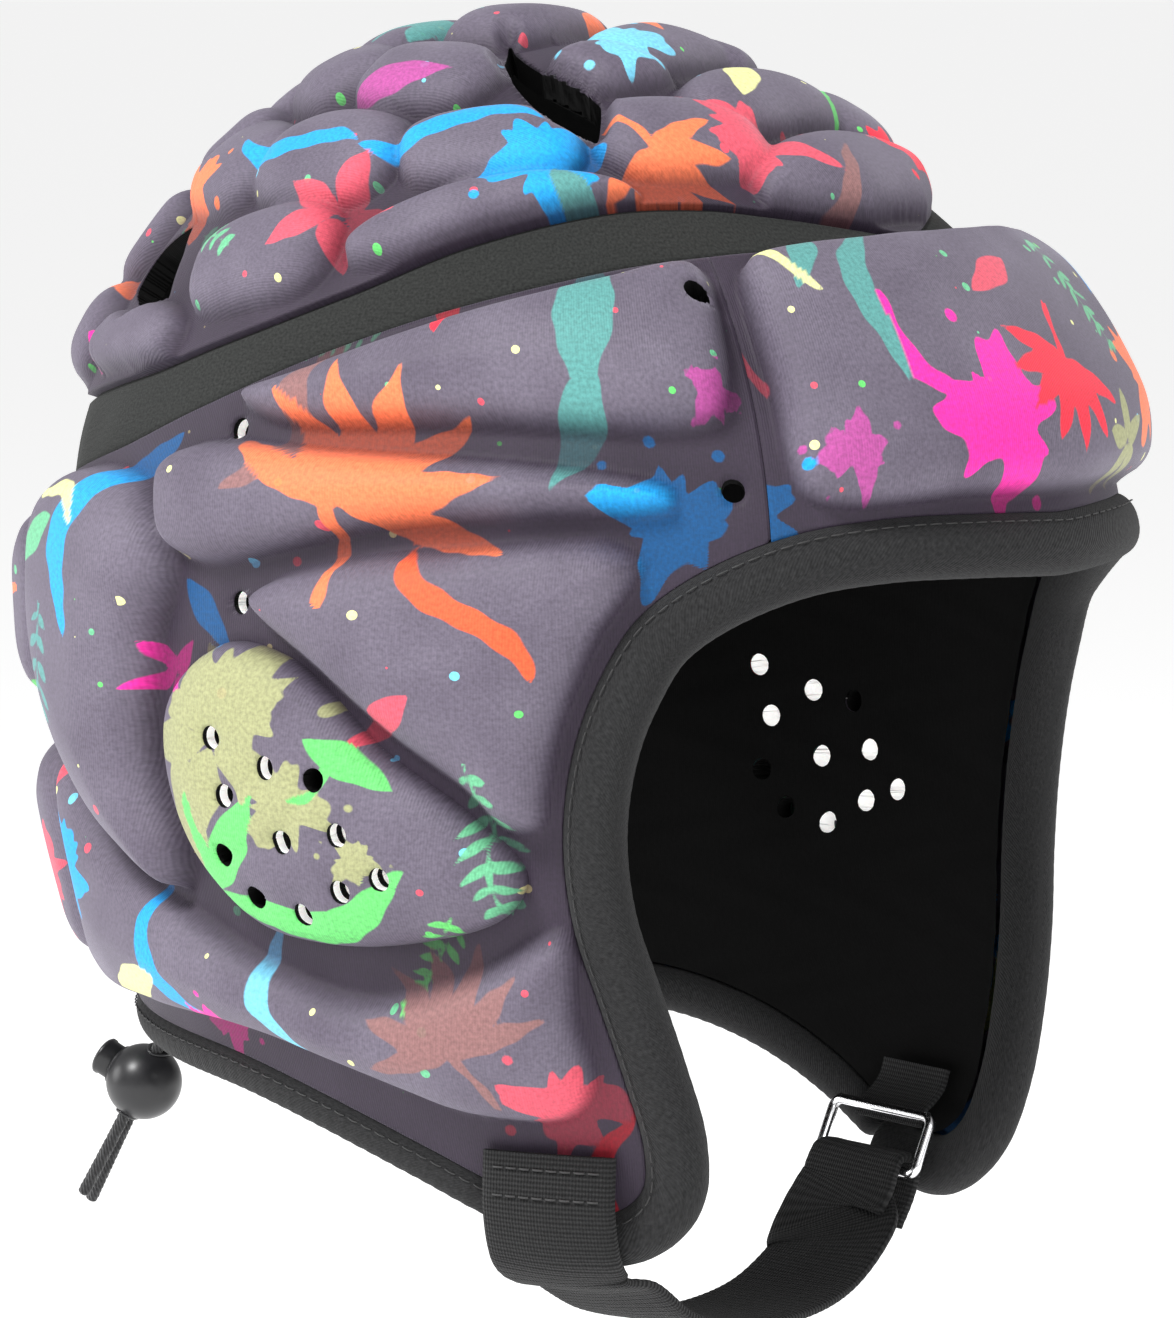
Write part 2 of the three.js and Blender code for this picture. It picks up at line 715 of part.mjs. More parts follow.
// Charts of the layers; "shrink" draws a panel back from its seams
function crownChart(shrink) {
  const chart = new Chart();
  const n = COLUMNS.length;
  const edge = (a) => bandEdge("top", a > 180 ? 360 - a : a) - shrink / LEVEL_MM;
  return chart.grid(n, CROWN_ROWS, (u, v) => {
    const a = COLUMNS[Math.round(u * n) % n];
    return [a, v === 0 ? 0 : edge(a < 0 ? -a : a) * v];
  });
}

function bandChart(shrink) {
  const chart = new Chart();
  const n = COLUMNS.length;
  return chart.grid(n, 1, (u, v) => {
    const a = COLUMNS[Math.round(u * n) % n];
    const b = a > 180 ? 360 - a : Math.abs(a);
    return [a, v === 0 ? bandEdge("top", b) + shrink / LEVEL_MM : bandEdge("low", b) - shrink / LEVEL_MM];
  });
}

function rimPoint(share) {
  return chartAt(rim, share);
}

function frontPatch(shrink) {
  const side = FRONT_SEAM - shrink / AROUND_MM;
  const top = (a) => [a, bandEdge("low", Math.abs(a)) + shrink / LEVEL_MM];
  const low = (a) => {
    const [, l] = rimPoint((SHARE_FRONT_SEAM * Math.abs(a)) / FRONT_SEAM);
    return [a, l];
  };
  const line = (f, g) => (t) => [0, 1].map((k) => f[k] + (g[k] - f[k]) * t);
  return patch(
    line(top(-side), low(-side)),
    line(top(side), low(side)),
    (u) => top(-side + 2 * side * u),
    (u) => low(-side + 2 * side * u)
  );
}

function sidePatch(shrink) {
  const from = FRONT_SEAM + shrink / AROUND_MM;
  const to = REAR_SEAM - shrink / AROUND_MM;
  const top = (u) => {
    const a = from + (to - from) * u;
    return [a, bandEdge("low", a) + shrink / LEVEL_MM];
  };
  const corner = rimPoint(SHARE_FRONT_SEAM);
  corner[0] = from;
  const upper = SEAM_ROWS / SIDE_ROWS;
  const left = (v) => {
    if (v < upper) {
      const t = v / upper;
      return [from, top(0)[1] + (corner[1] - top(0)[1]) * t];
    }
    const share = SHARE_FRONT_SEAM + ((SHARE_TIP - SHARE_FRONT_SEAM) * (v - upper)) / (1 - upper);
    const [a, l] = rimPoint(share);
    return [Math.max(a, from), l];
  };
  const end = rimPoint(SHARE_REAR_SEAM);
  const right = (v) => [to, top(1)[1] + (end[1] - top(1)[1]) * v];
  const low = (u) => {
    const [a, l] = rimPoint(SHARE_TIP + (SHARE_REAR_SEAM - SHARE_TIP) * u);
    return [Math.min(a, to), l];
  };
  // The rear seam has half as many points, those of the back panel
  const surface = patch(left, right, top, low);
  const even = (v) => (2 * Math.floor((v * SIDE_ROWS) / 2 + 1e-6)) / SIDE_ROWS;
  return (u, v) => surface(u, u > 0.999 ? even(v) : v);
}

function backPatch(shrink) {
  const from = REAR_SEAM + shrink / AROUND_MM;
  const width = 360 - 2 * from;
  const top = (u) => {
    const a = from + width * u;
    return [a, bandEdge("low", a > 180 ? 360 - a : a) + shrink / LEVEL_MM];
  };
  const low = (u) => {
    const a = from + width * u;
    const share = rimShare(a > 180 ? 360 - a : a, 1.59);
    return [a, rimPoint(share)[1]];
  };
  const end = rimPoint(SHARE_REAR_SEAM)[1];
  const left = (v) => [from, top(0)[1] + (end - top(0)[1]) * v];
  const right = (v) => [from + width, top(1)[1] + (end - top(1)[1]) * v];
  const fitted = (u) => (u === 0 || u === 1 ? [from + width * u, end] : low(u));
  return patch(left, right, top, fitted);
}

const mirrorAt = (at) => (u, v) => {
  const [a, l] = at(1 - u, v);
  return [-a, l];
};

// The colours of cloth and trims
const PRINT_CLOTH = new THREE.Color(0.33, 0.3, 0.36);
const materials = {
  printed_cloth: [PRINT_CLOTH, 0.85, 0],
  lining_cloth: [new THREE.Color(0.02, 0.02, 0.02), 0.95, 0],
  stretch_knit: [new THREE.Color(0.06, 0.065, 0.06), 0.9, 0],
  binding_tape: [new THREE.Color(0.055, 0.055, 0.055), 0.85, 0],
  webbing: [new THREE.Color(0.05, 0.05, 0.055), 0.8, 0],
  bright_wire: [new THREE.Color(0.85, 0.85, 0.87), 0.2, 1],
  lock_plastic: [new THREE.Color(0.07, 0.07, 0.075), 0.35, 0],
  button_plastic: [new THREE.Color(0.09, 0.09, 0.095), 0.4, 0],
  braided_cord: [new THREE.Color(0.05, 0.05, 0.05), 0.8, 0],
};

const cap = new THREE.Group();
cap.name = "scrum_cap";

function place(name, solid, finish) {
  const [colour, roughness, metalness] = materials[finish];
  const geometry = solid.isBufferGeometry ? solid : toGeometry(solid);
  geometry.computeVertexNormals();
  const material = new THREE.MeshStandardMaterial({ color: colour.clone(), roughness, metalness });
  material.name = finish;
  const mesh = new THREE.Mesh(geometry, material);
  mesh.name = name;
  cap.add(mesh);
}

// Holes and vents
const HOLE_SIDES = 5;
const holeOutline = ([around, level]) => {
  const scale = scaleAt(around, level);
  return Array.from({ length: HOLE_SIDES }, (_, i) => {
    const t = (2 * Math.PI * (i + 0.5)) / HOLE_SIDES;
    const r = VENT_HOLE_DIAMETER / 2;
    return [around + (Math.cos(t) * r) / scale.around, level + (Math.sin(t) * r) / scale.level];
  });
};
const bothSides = (outline) => [outline, outline.map(([a, l]) => [-a, l])];
const vents = [FRONT_VENT, REAR_VENT].flatMap(bothSides).map((o) => piercer(o, 20, -20));
const earPiercers = EAR_HOLES.map((h) => piercer(holeOutline(h), 14, -10));
const sidePiercers = SIDE_HOLES.map((h) => piercer(holeOutline(h), 14, -10));
const flip = (solid) => toSolid(mirrored(toGeometry(solid)));
const allPiercers = [...earPiercers, ...sidePiercers];

// Lining
const liningChart = new Chart();
const capChart = crownChart(0);
for (const [i, j, k] of capChart.triangles) {
  liningChart.triangle(...[i, j, k].map((t) => liningChart.point(...capChart.points[t])));
}
const strip = bandChart(0);
for (const [i, j, k] of strip.triangles) {
  liningChart.triangle(...[i, j, k].map((t) => liningChart.point(...strip.points[t])));
}
liningChart.grid(FRONT_COLUMNS, FRONT_ROWS, frontPatch(0));
liningChart.grid(SIDE_COLUMNS, SIDE_ROWS, sidePatch(0));
liningChart.grid(SIDE_COLUMNS, SIDE_ROWS, mirrorAt(sidePatch(0)), -1);
liningChart.grid(BACK_COLUMNS, BACK_ROWS, backPatch(0));
const liningTop = -WEB_THICK - CLEARANCE;
const liningSolid = toSolid(thicken(liningChart, liningTop, liningTop - LINING_THICK));
place("lining", cut(liningSolid, [...vents, ...allPiercers, ...allPiercers.map(flip)]), "lining_cloth");

// Crown
const SEAM = 0.4;
const crownWeb = toSolid(thicken(crownChart(SEAM), 0, -WEB_THICK));
const cells = CROWN_CELLS.flatMap((cell) => {
  const line = cellOutline(cell, 8);
  return cell.pair ? bothSides(line) : [line];
});
const crownPads = cells.map((line) =>
  cushion(line, { base: -1.4, height: CROWN_PAD_HEIGHT, round: 6.5, across: 1, steps: 1 })
);
place("crown_panel", cut(joined([crownWeb, ...crownPads]), vents), "printed_cloth");

// Front, sides and back
const padStyle = { base: -1.9, height: SIDE_PAD_HEIGHT, round: 9 };
const frontWeb = toSolid(thicken(new Chart().grid(FRONT_COLUMNS, FRONT_ROWS, frontPatch(SEAM)), 0, -WEB_THICK));
const forehead = cushion(outlineOf(FOREHEAD_PAD, 22), { ...padStyle, height: 7, round: 13, across: 3 });
place("front_panel", frontWeb.add(forehead), "printed_cloth");

const sideWeb = toSolid(thicken(new Chart().grid(SIDE_COLUMNS, SIDE_ROWS, sidePatch(SEAM)), 0, -WEB_THICK));
const sidePads = [
  cushion(outlineOf(TEMPLE_PAD, 16), { ...padStyle, across: 3 }),
  cushion(outlineOf(TAPER_PAD, 16), { ...padStyle, round: 8, across: 1 }),
  cushion(outlineOf(CHEEK_PAD, 16), { ...padStyle, across: 3 }),
  cushion(outlineOf(REAR_PAD, 14), { ...padStyle, across: 3 }),
  cushion(outlineOf(LOWER_ROLL, 24), { ...padStyle, round: 8, across: 1, draw: inset }),
];
const earFlat = laidFlat(outlineOf(EAR_PAD, 12));
const earOpening = piercer(drawnIn(earFlat.flat, EAR_OPENING_MARGIN).map(earFlat.back), 14, -10);
const sidePanel = cut(joined([sideWeb, ...sidePads]), [earOpening, ...sidePiercers]);
place("side_panel_right", sidePanel, "printed_cloth");
place("side_panel_left", mirrored(toGeometry(sidePanel)), "printed_cloth");

const backWeb = toSolid(thicken(new Chart().grid(BACK_COLUMNS, BACK_ROWS, backPatch(SEAM)), 0, -WEB_THICK));
const napePads = NAPE_PADS.map((rows) => cushion(outlineOf(rows, 16), { ...padStyle, across: 3 }));
place("back_panel", joined([backWeb, ...napePads]), "printed_cloth");

// Ear pads, seated on the side panels
const earPad = cut(
  cushion(outlineOf(EAR_PAD, 16), { base: 0.6, height: EAR_PAD_HEIGHT, round: 9, across: 3 }),
  earPiercers
);
place("ear_pad_right", earPad, "printed_cloth");
place("ear_pad_left", mirrored(toGeometry(earPad)), "printed_cloth");

// Stretch band
const bandTop = -WEB_THICK + BAND_THICK;
place("stretch_band", toSolid(thicken(bandChart(SEAM), bandTop, -WEB_THICK)), "stretch_knit");

// The panels' own edge points, so that the trims lie along the same chords
const FACE_SHARES = [
  ...spread(0, FRONT_COLUMNS / 2, FRONT_COLUMNS / 2).map((i) => (SHARE_FRONT_SEAM * i) / (FRONT_COLUMNS / 2)),
  ...spread(SHARE_FRONT_SEAM, SHARE_TIP, EDGE_ROWS).slice(1),
];
const NECK_SHARES = spread(SHARE_TIP, SHARE_REAR_SEAM, SIDE_COLUMNS);

// Face binding, from flap tip to flap tip
const bindingShares = [...FACE_SHARES, NECK_SHARES[1]];
const bindingStations = [
  ...[...bindingShares].reverse().slice(0, -1).map((s) => rimStation(-s)),
  ...bindingShares.map((s) => rimStation(s)),
];
const bindingLow = -WEB_THICK - CLEARANCE - LINING_THICK - 1.1;
place("face_binding", sweep(bindingStations, tapeSection(BINDING_WIDTH, BINDING_THICK, bindingLow), false), "binding_tape");

// Neck hems, from the flap tips to the nape
const HEM_END = 171;
const backShares = spread(REAR_SEAM, 180, BACK_COLUMNS / 2).map((a) => rimShare(a, 1.59));
const hemShares = [
  NECK_SHARES[1] + 0.0015,
  ...NECK_SHARES.slice(2),
  ...backShares.slice(1, -1).filter((s) => s < rimShare(HEM_END, 1.585) - 0.01),
  rimShare(HEM_END, 1.585),
];
const hemLow = -WEB_THICK - CLEARANCE - LINING_THICK - 0.6;
const hem = sweep(hemShares.map((s) => rimStation(s)), tapeSection(HEM_WIDTH, HEM_THICK, hemLow), false);
place("neck_hem_right", hem, "binding_tape");
place("neck_hem_left", mirrored(toGeometry(hem)), "binding_tape");

// Wire ring inside the left flap: a flat rounded frame that the strap's end folds round
const STRAP_AROUND = 65.5;
const STRAP_TOP = 1.703;
const STRAP_BOW = 1.3;
const RING_BAR = 1.85;
const overHem = bindingLow + BINDING_THICK + STRAP_THICK / 2 + 2.2;
const inLining = bindingLow - STRAP_THICK / 2 - 0.9;
const foldRadius = (STRAP_THICK + RING_WIRE) / 2 + 0.75;
const ringHigh = inLining - foldRadius - 1;
const flapWay = (side) => {
  const [before, after] = [side * STRAP_AROUND - side, side * STRAP_AROUND + side];
  return skin(after, 1.78, 0).sub(skin(before, 1.78, 0)).normalize();
};
const ringAt = -STRAP_AROUND;
const ringMiddle = RING_BAR - (RING_HEIGHT - RING_WIRE) / 2 / scaleAt(ringAt, 1.77).level;
const ringCentre = skin(ringAt, ringMiddle, ringHigh);
const ringOut = floorNormal(ringAt, ringMiddle);
const ringWide = flapWay(-1);
ringWide.addScaledVector(ringOut, -ringWide.dot(ringOut)).normalize();
const ringRise = ringOut.clone().cross(ringWide).normalize();
ringRise.multiplyScalar(Math.sign(ringRise.z));
const ringPoint = (x, y) => ringCentre.clone().addScaledVector(ringWide, x).addScaledVector(ringRise, y);
const ringHalf = { x: (RING_WIDTH - RING_WIRE) / 2, y: (RING_HEIGHT - RING_WIRE) / 2 };
const ringCorner = 2;
const ringLine = [];
for (const [cx, cy, from] of [[1, 1, 0], [-1, 1, 90], [-1, -1, 180], [1, -1, 270]]) {
  for (const turn of [0, 45, 90]) {
    const t = THREE.MathUtils.degToRad(from + turn);
    ringLine.push([
      cx * (ringHalf.x - ringCorner) + Math.cos(t) * ringCorner,
      cy * (ringHalf.y - ringCorner) + Math.sin(t) * ringCorner,
    ]);
  }
}
const ringPlaces = ringLine.map(([x, y]) => ringPoint(x, y));
const ringStations = ringPlaces.map((p, i) => {
  const after = ringPlaces[(i + 1) % ringPlaces.length];
  const before = ringPlaces[(i + ringPlaces.length - 1) % ringPlaces.length];
  const along = after.clone().sub(before).normalize();
  return { place: p, across: ringOut.clone().cross(along).normalize(), up: ringOut };
});
const wireSection = Array.from({ length: 6 }, (_, i) => {
  const t = (Math.PI * (2 * i + 1)) / 6;
  return [(Math.cos(t) * RING_WIRE) / 2, (Math.sin(t) * RING_WIRE) / 2];
});
place("strap_ring", sweep(ringStations, wireSection, true), "bright_wire");

// Tab sewn on the lining, reaching the ring's upper bar from behind
const tabOnLining = liningTop - LINING_THICK - CLEARANCE - TAB_THICK / 2 - 1.4;
const tabAtRing = ringHigh + RING_WIRE / 2 + CLEARANCE + TAB_THICK / 2;
const ringTopBar = ringPoint(0, ringHalf.y).addScaledVector(ringOut, tabAtRing - ringHigh);
const tabPlaces = [
  skin(ringAt, ringMiddle - 0.105, tabOnLining),
  skin(ringAt, ringMiddle - 0.08, tabOnLining),
  skin(ringAt, ringMiddle - 0.06, (tabOnLining + tabAtRing) / 2),
  ringTopBar.clone().addScaledVector(ringRise, RING_WIRE / 2),
  ringTopBar.clone().addScaledVector(ringRise, -RING_WIRE),
];
const tabStations = tabPlaces.map((p, i) => {
  const along = tabPlaces[Math.min(i + 1, 4)].clone().sub(tabPlaces[Math.max(i - 1, 0)]).normalize();
  return { place: p, across: ringWide, up: ringWide.clone().cross(along).normalize() };
});
const tabSection = [[-1, -1], [1, -1], [1, 1], [-1, 1]].map(([e, h]) => [(e * TAB_WIDTH) / 2, (h * TAB_THICK) / 2]);
place("ring_tab", sweep(tabStations, tabSection, false), "webbing");

// Chin strap: sewn on the right flap, under the chin, up inside the left flap,
// through the ring and folded back
const flapFoot = skin(STRAP_AROUND, 1.84, 0);
const strapLow = flapFoot.z - STRAP_DROP;
const chin = (x, z) => new THREE.Vector3(x * Math.abs(flapFoot.x), flapFoot.y, strapLow + z * STRAP_DROP);
const ringBar = ringPoint(0, -ringHalf.y);
const fold = (out, rise) =>
  ringBar.clone().addScaledVector(ringOut, out * foldRadius).addScaledVector(ringRise, rise * foldRadius);
// Each point with the number of steps to the next
const STRAP_ROUTE = [
  [skin(STRAP_AROUND, STRAP_TOP, STRAP_THICK / 2 + 0.7), 1],
  [skin(STRAP_AROUND, STRAP_TOP + 0.02, STRAP_THICK / 2 + 2), 2],
  [skin(STRAP_AROUND, 1.77, overHem), 2],
  [skin(STRAP_AROUND, 1.83, overHem), 2],
  [skin(STRAP_AROUND, 1.875, overHem - 4), 2],
  [chin(-0.84, 0.56), 2],
  [chin(-0.62, 0.24), 2],
  [chin(-0.32, 0.04), 2],
  [chin(0, 0), 2],
  [chin(0.28, 0.14), 2],
  [chin(0.5, 0.5), 2],
  [skin(-STRAP_AROUND, 1.92, ringHigh - foldRadius - 1), 2],
  [fold(-1, -1.6), 1],
  [fold(-1, -0.4), 1],
  [fold(-0.8, 0.6), 1],
  [fold(0, 1), 1],
  [fold(0.8, 0.6), 1],
  [fold(1, -0.4), 2],
  [fold(1, -3.6), 0],
];
const strapPath = new THREE.CatmullRomCurve3(
  STRAP_ROUTE.map(([p]) => p),
  false,
  "centripetal"
);
const strapSpans = STRAP_ROUTE.length - 1;
const strapTimes = STRAP_ROUTE.flatMap(([, steps], i) =>
  i === strapSpans ? [1] : Array.from({ length: steps }, (_, k) => (i + k / steps) / strapSpans)
);
const strapStations = strapTimes.map((t) => {
  const at = strapPath.getPoint(t);
  const along = strapPath.getTangent(t);
  const away = THREE.MathUtils.smoothstep(Math.abs(at.x) / Math.abs(flapFoot.x), 0.3, 0.95);
  const wide = new THREE.Vector3(0, 1, 0).lerp(flapWay(at.x < 0 ? 1 : -1), away);
  wide.addScaledVector(along, -wide.dot(along)).normalize();
  const up = wide.clone().cross(along).normalize();
  const outward = floorNormal(at.x < 0 ? STRAP_AROUND : -STRAP_AROUND, 1.8);
  const offRing = THREE.MathUtils.smoothstep(at.distanceTo(ringBar), foldRadius * 1.5, foldRadius * 5);
  const bow = STRAP_BOW * away * up.dot(outward) * (at.x < 0 ? 1 : offRing);
  return { place: at, across: wide, up, bow };
});
const strapLine = [-1, 0, 1];
const strapSection = [
  ...strapLine.map((e) => [e, -1]),
  ...[...strapLine].reverse().map((e) => [e, 1]),
];
const strapPositions = strapStations.map((s) => ({
  ...s,
  line: strapSection.map(([e, h]) => [(e * STRAP_WIDTH) / 2, (h * STRAP_THICK) / 2 - s.bow * e * e]),
}));
place("chin_strap", sweep(strapPositions, strapSection, false), "webbing");

// Cord ends and their ball lock at the nape
const mouth = skin(HEM_END + 3.2, rimPoint(rimShare(HEM_END, 1.585))[1] + 0.028, -2);
const HANG = new THREE.Vector3(-0.15, 0.44, -0.886).normalize();
const lockCentre = mouth.clone().addScaledVector(new THREE.Vector3(-0.2, 0.46, -0.865).normalize(), LOCK_FROM_HEM);
const buttonWay = new THREE.Vector3(-0.214, 0.872, 0.44);
buttonWay.addScaledVector(HANG, -buttonWay.dot(HANG)).normalize();
const sideWay = HANG.clone().cross(buttonWay).normalize();

function cordStrand(side, from) {
  const off = (side * (CORD_DIAMETER + CLEARANCE)) / 2;
  const inLock = lockCentre.clone().addScaledVector(sideWay, off);
  const tail = CORD_FREE_LENGTH - LOCK_FROM_HEM;
  const path = new THREE.CatmullRomCurve3(
    [
      from,
      from.clone().lerp(inLock.clone().addScaledVector(HANG, -9), 0.5).add(new THREE.Vector3(0, 0.8, 0)),
      inLock.clone().addScaledVector(HANG, -9),
      inLock.clone().addScaledVector(HANG, 9),
      inLock.clone().addScaledVector(HANG, tail * 0.6).addScaledVector(sideWay, side * 0.4),
      inLock.clone().addScaledVector(HANG, tail + side).addScaledVector(sideWay, side * 1.2),
    ],
    false,
    "centripetal"
  );
  const stations = spread(0, 1, 11).map((t) => {
    const along = path.getTangentAt(t);
    const across = sideWay.clone().addScaledVector(along, -sideWay.dot(along)).normalize();
    return { place: path.getPointAt(t), across, up: across.clone().cross(along).normalize() };
  });
  const r = CORD_DIAMETER / 2;
  const round = Array.from({ length: 8 }, (_, i) => {
    const t = (Math.PI * 2 * (i + 0.5)) / 8;
    return [Math.cos(t) * r, Math.sin(t) * r];
  });
  return sweep(stations, round, false);
}
const cordApart = CORD_DIAMETER * 0.5 + 0.25;
place("cord_strand_a", cordStrand(-1, mouth.clone().addScaledVector(sideWay, -cordApart)), "braided_cord");
place("cord_strand_b", cordStrand(1, mouth.clone().addScaledVector(sideWay, cordApart)), "braided_cord");

function turnedTo(geometry, axis, up, centre) {
  const x = up.clone().cross(axis).normalize();
  const basis = new THREE.Matrix4().makeBasis(x, axis, x.clone().cross(axis).negate().multiplyScalar(-1));
  return geometry.applyMatrix4(basis).applyMatrix4(new THREE.Matrix4().makeTranslation(centre));
}
const lockRadius = LOCK_DIAMETER / 2;
const cordSlot = (wide, deep, long, shift) => {
  const box = new THREE.BoxGeometry(wide, long, deep);
  const basis = new THREE.Matrix4().makeBasis(sideWay, HANG, sideWay.clone().cross(HANG));
  const centre = lockCentre.clone().addScaledVector(buttonWay, shift);
  return toSolid(box.applyMatrix4(basis).applyMatrix4(new THREE.Matrix4().makeTranslation(centre)));
};
const slotWide = 2 * CORD_DIAMETER + CLEARANCE + 0.9;
const slotDeep = CORD_DIAMETER + 0.8;
const ball = toSolid(turnedTo(new THREE.SphereGeometry(lockRadius, 12, 9), HANG, buttonWay, lockCentre));
const boreDepth = 4.6;
const bore = toSolid(
  turnedTo(
    new THREE.CylinderGeometry(BUTTON_DIAMETER / 2 + RUNNING_GAP, BUTTON_DIAMETER / 2 + RUNNING_GAP, 20, 12),
    buttonWay,
    HANG,
    lockCentre.clone().addScaledVector(buttonWay, 10 - boreDepth)
  )
);
place("cord_lock_body", cut(ball, [bore, cordSlot(slotWide, slotDeep, 30, 0)]), "lock_plastic");
const stemFoot = -boreDepth + BUTTON_STROKE + RUNNING_GAP;
const buttonTop = lockRadius + BUTTON_PROUD;
const stem = toSolid(
  turnedTo(
    new THREE.CylinderGeometry(BUTTON_DIAMETER / 2, BUTTON_DIAMETER / 2, buttonTop - stemFoot, 12),
    buttonWay,
    HANG,
    lockCentre.clone().addScaledVector(buttonWay, (buttonTop + stemFoot) / 2)
  )
);
const stemSlot = cordSlot(slotWide, slotDeep + BUTTON_STROKE, 30, BUTTON_STROKE / 2);
place("cord_lock_button", stem.subtract(stemSlot), "button_plastic");

export default cap;
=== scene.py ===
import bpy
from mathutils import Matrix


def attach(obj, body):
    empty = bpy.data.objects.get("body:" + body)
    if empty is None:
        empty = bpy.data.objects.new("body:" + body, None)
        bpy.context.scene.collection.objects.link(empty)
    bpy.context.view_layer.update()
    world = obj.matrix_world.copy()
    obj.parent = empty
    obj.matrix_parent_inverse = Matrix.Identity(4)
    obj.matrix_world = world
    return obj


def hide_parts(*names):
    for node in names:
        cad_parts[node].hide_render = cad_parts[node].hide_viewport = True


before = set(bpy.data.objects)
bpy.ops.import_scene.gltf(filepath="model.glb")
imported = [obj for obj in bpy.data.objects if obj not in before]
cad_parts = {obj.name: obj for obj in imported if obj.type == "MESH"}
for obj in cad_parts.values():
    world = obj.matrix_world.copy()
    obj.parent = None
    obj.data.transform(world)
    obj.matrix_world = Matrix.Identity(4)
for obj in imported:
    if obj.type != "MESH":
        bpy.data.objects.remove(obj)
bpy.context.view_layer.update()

# The view
# A cap held up as if on a head, over a plain pale floor, seen from the wearer's
# right front and a little above, in soft light from all round.
import math

import bpy
import numpy as np
from mathutils import Vector

VIEW_AROUND, VIEW_UP, VIEW_FAR = -51.0, 6.0, 1.5
LENS_LENGTH, NEAREST, FARTHEST = 224.0, 0.05, 100
AIM, AIM_RIGHT, AIM_RISE = Vector((0, -0.014, -0.1019)), -0.0001, -0.0062
LIT_POINT = Vector((0, 0, -0.1))
SKY_LIGHT, SKY_SEEN = 0.45, 1.3
FLOOR_WIDTH, FLOOR_LEVEL = 60, -0.36
turn, tilt = math.radians(VIEW_AROUND), math.radians(VIEW_UP)
back = Vector((math.sin(turn) * math.cos(tilt), -math.cos(turn) * math.cos(tilt), math.sin(tilt)))
right = Vector((math.cos(turn), math.sin(turn), 0))
rise = back.cross(right)


def put_facing(thing, way):
    """Puts a camera or a light in the scene, looking along a direction."""
    thing.rotation_mode = "QUATERNION"
    thing.rotation_quaternion = way.to_track_quat("-Z", "Y")
    bpy.context.scene.collection.objects.link(thing)


eye = bpy.data.objects.new("eye", bpy.data.cameras.new("eye"))
eye.data.lens, eye.data.clip_start, eye.data.clip_end = LENS_LENGTH, NEAREST, FARTHEST
eye.location = AIM + right * AIM_RIGHT + rise * AIM_RISE + back * VIEW_FAR
put_facing(eye, -back)
bpy.context.scene.camera = eye

# Each light: its place to the right, towards the eye and up, its width and its power
for name, aside, ahead, up, wide, power in (
    ("key_light", -0.95, 0.7, 1.05, 0.5, 27), ("front_light", 0.5, 1.3, 0.25, 0.8, 7),
    ("side_light", -1.4, -0.2, 0.2, 0.7, 6), ("back_light", 1.2, -0.5, 0.9, 0.7, 9),
):
    lamp = bpy.data.objects.new(name, bpy.data.lights.new(name, "AREA"))
    lamp.data.shape, lamp.data.size, lamp.data.energy = "DISK", wide, power
    lamp.location = back * ahead + right * aside + Vector((0, 0, up))
    put_facing(lamp, LIT_POINT - lamp.location)


def node_in(tree, kind, inputs=None, **settings):
    """A new node, with a value or a link for each of its named inputs."""
    made = tree.nodes.new(kind)
    for key, value in settings.items():
        setattr(made, key, value)
    for key, value in (inputs or {}).items():
        if isinstance(value, bpy.types.NodeSocket):
            tree.links.new(value, made.inputs[key])
        else:
            made.inputs[key].default_value = value
    return made


def ranged(tree, value, low, high, start=0.0, end=1.0):
    """Takes a value from start to end over to low to high."""
    return node_in(tree, "ShaderNodeMapRange", {
        "Value": value, "From Min": start, "From Max": end, "To Min": low, "To Max": high,
    }).outputs[0]


sky = bpy.data.worlds.new("sky")
bpy.context.scene.world = sky
sky.use_nodes = True
glow = sky.node_tree.nodes["Background"]
glow.inputs["Color"].default_value = (1, 1, 1, 1)
seen = node_in(sky.node_tree, "ShaderNodeLightPath").outputs["Is Camera Ray"]
sky.node_tree.links.new(ranged(sky.node_tree, seen, SKY_LIGHT, SKY_SEEN), glow.inputs["Strength"])
bpy.context.scene.view_settings.view_transform = "Standard"


def new_finish(name, **sockets):
    """A material with the given shader values, its nodes and its shader."""
    made = bpy.data.materials.new(name)
    made.use_nodes = True
    shader = made.node_tree.nodes["Principled BSDF"]
    for socket, value in sockets.items():
        shader.inputs[socket.replace("_", " ")].default_value = value
    return made, made.node_tree, shader


floor_finish, _, _ = new_finish(
    "pale_floor", Base_Color=(0.85, 0.85, 0.85, 1), Roughness=0.9,
    Emission_Color=(1, 1, 1, 1), Emission_Strength=0.5,
)
bpy.ops.mesh.primitive_plane_add(size=FLOOR_WIDTH, location=(0, 0, FLOOR_LEVEL))
floor = bpy.context.object
floor.name = "floor"
floor.data.materials.append(floor_finish)

# Cord lock
# A moulded plastic ball with a sprung push button. Both cord ends run through a slot
# across ball and button, and letting go of the button grips them.
LOCK_RADIUS = 0.00725
LOCK_AT = np.array([-0.0115, 0.08545, -0.1947])
LOCK_DOWN = np.array([-0.14992, 0.43976, -0.88551])
BUTTON_OUT = np.array([-0.21021, 0.86098, 0.46316])
LOCK_SIDE = np.array([0.96609, 0.25558, -0.03664])
BUTTON_RADIUS, BUTTON_TOP, STEM_FOOT = 0.0037, 0.01005, -0.0023
BORE_RADIUS, BORE_FLOOR, ON_AXIS = 0.00395, -0.0046, 1e-6


def math_in(tree, operation, first, second):
    """The sum, product or comparison of two values."""
    return node_in(tree, "ShaderNodeMath", {0: first, 1: second}, operation=operation).outputs[0]


def noise_in(tree, place, detail, scale=1.0):
    """Fine random grain."""
    return node_in(
        tree, "ShaderNodeTexNoise", {"Vector": place, "Scale": scale, "Detail": detail}
    ).outputs["Fac"]


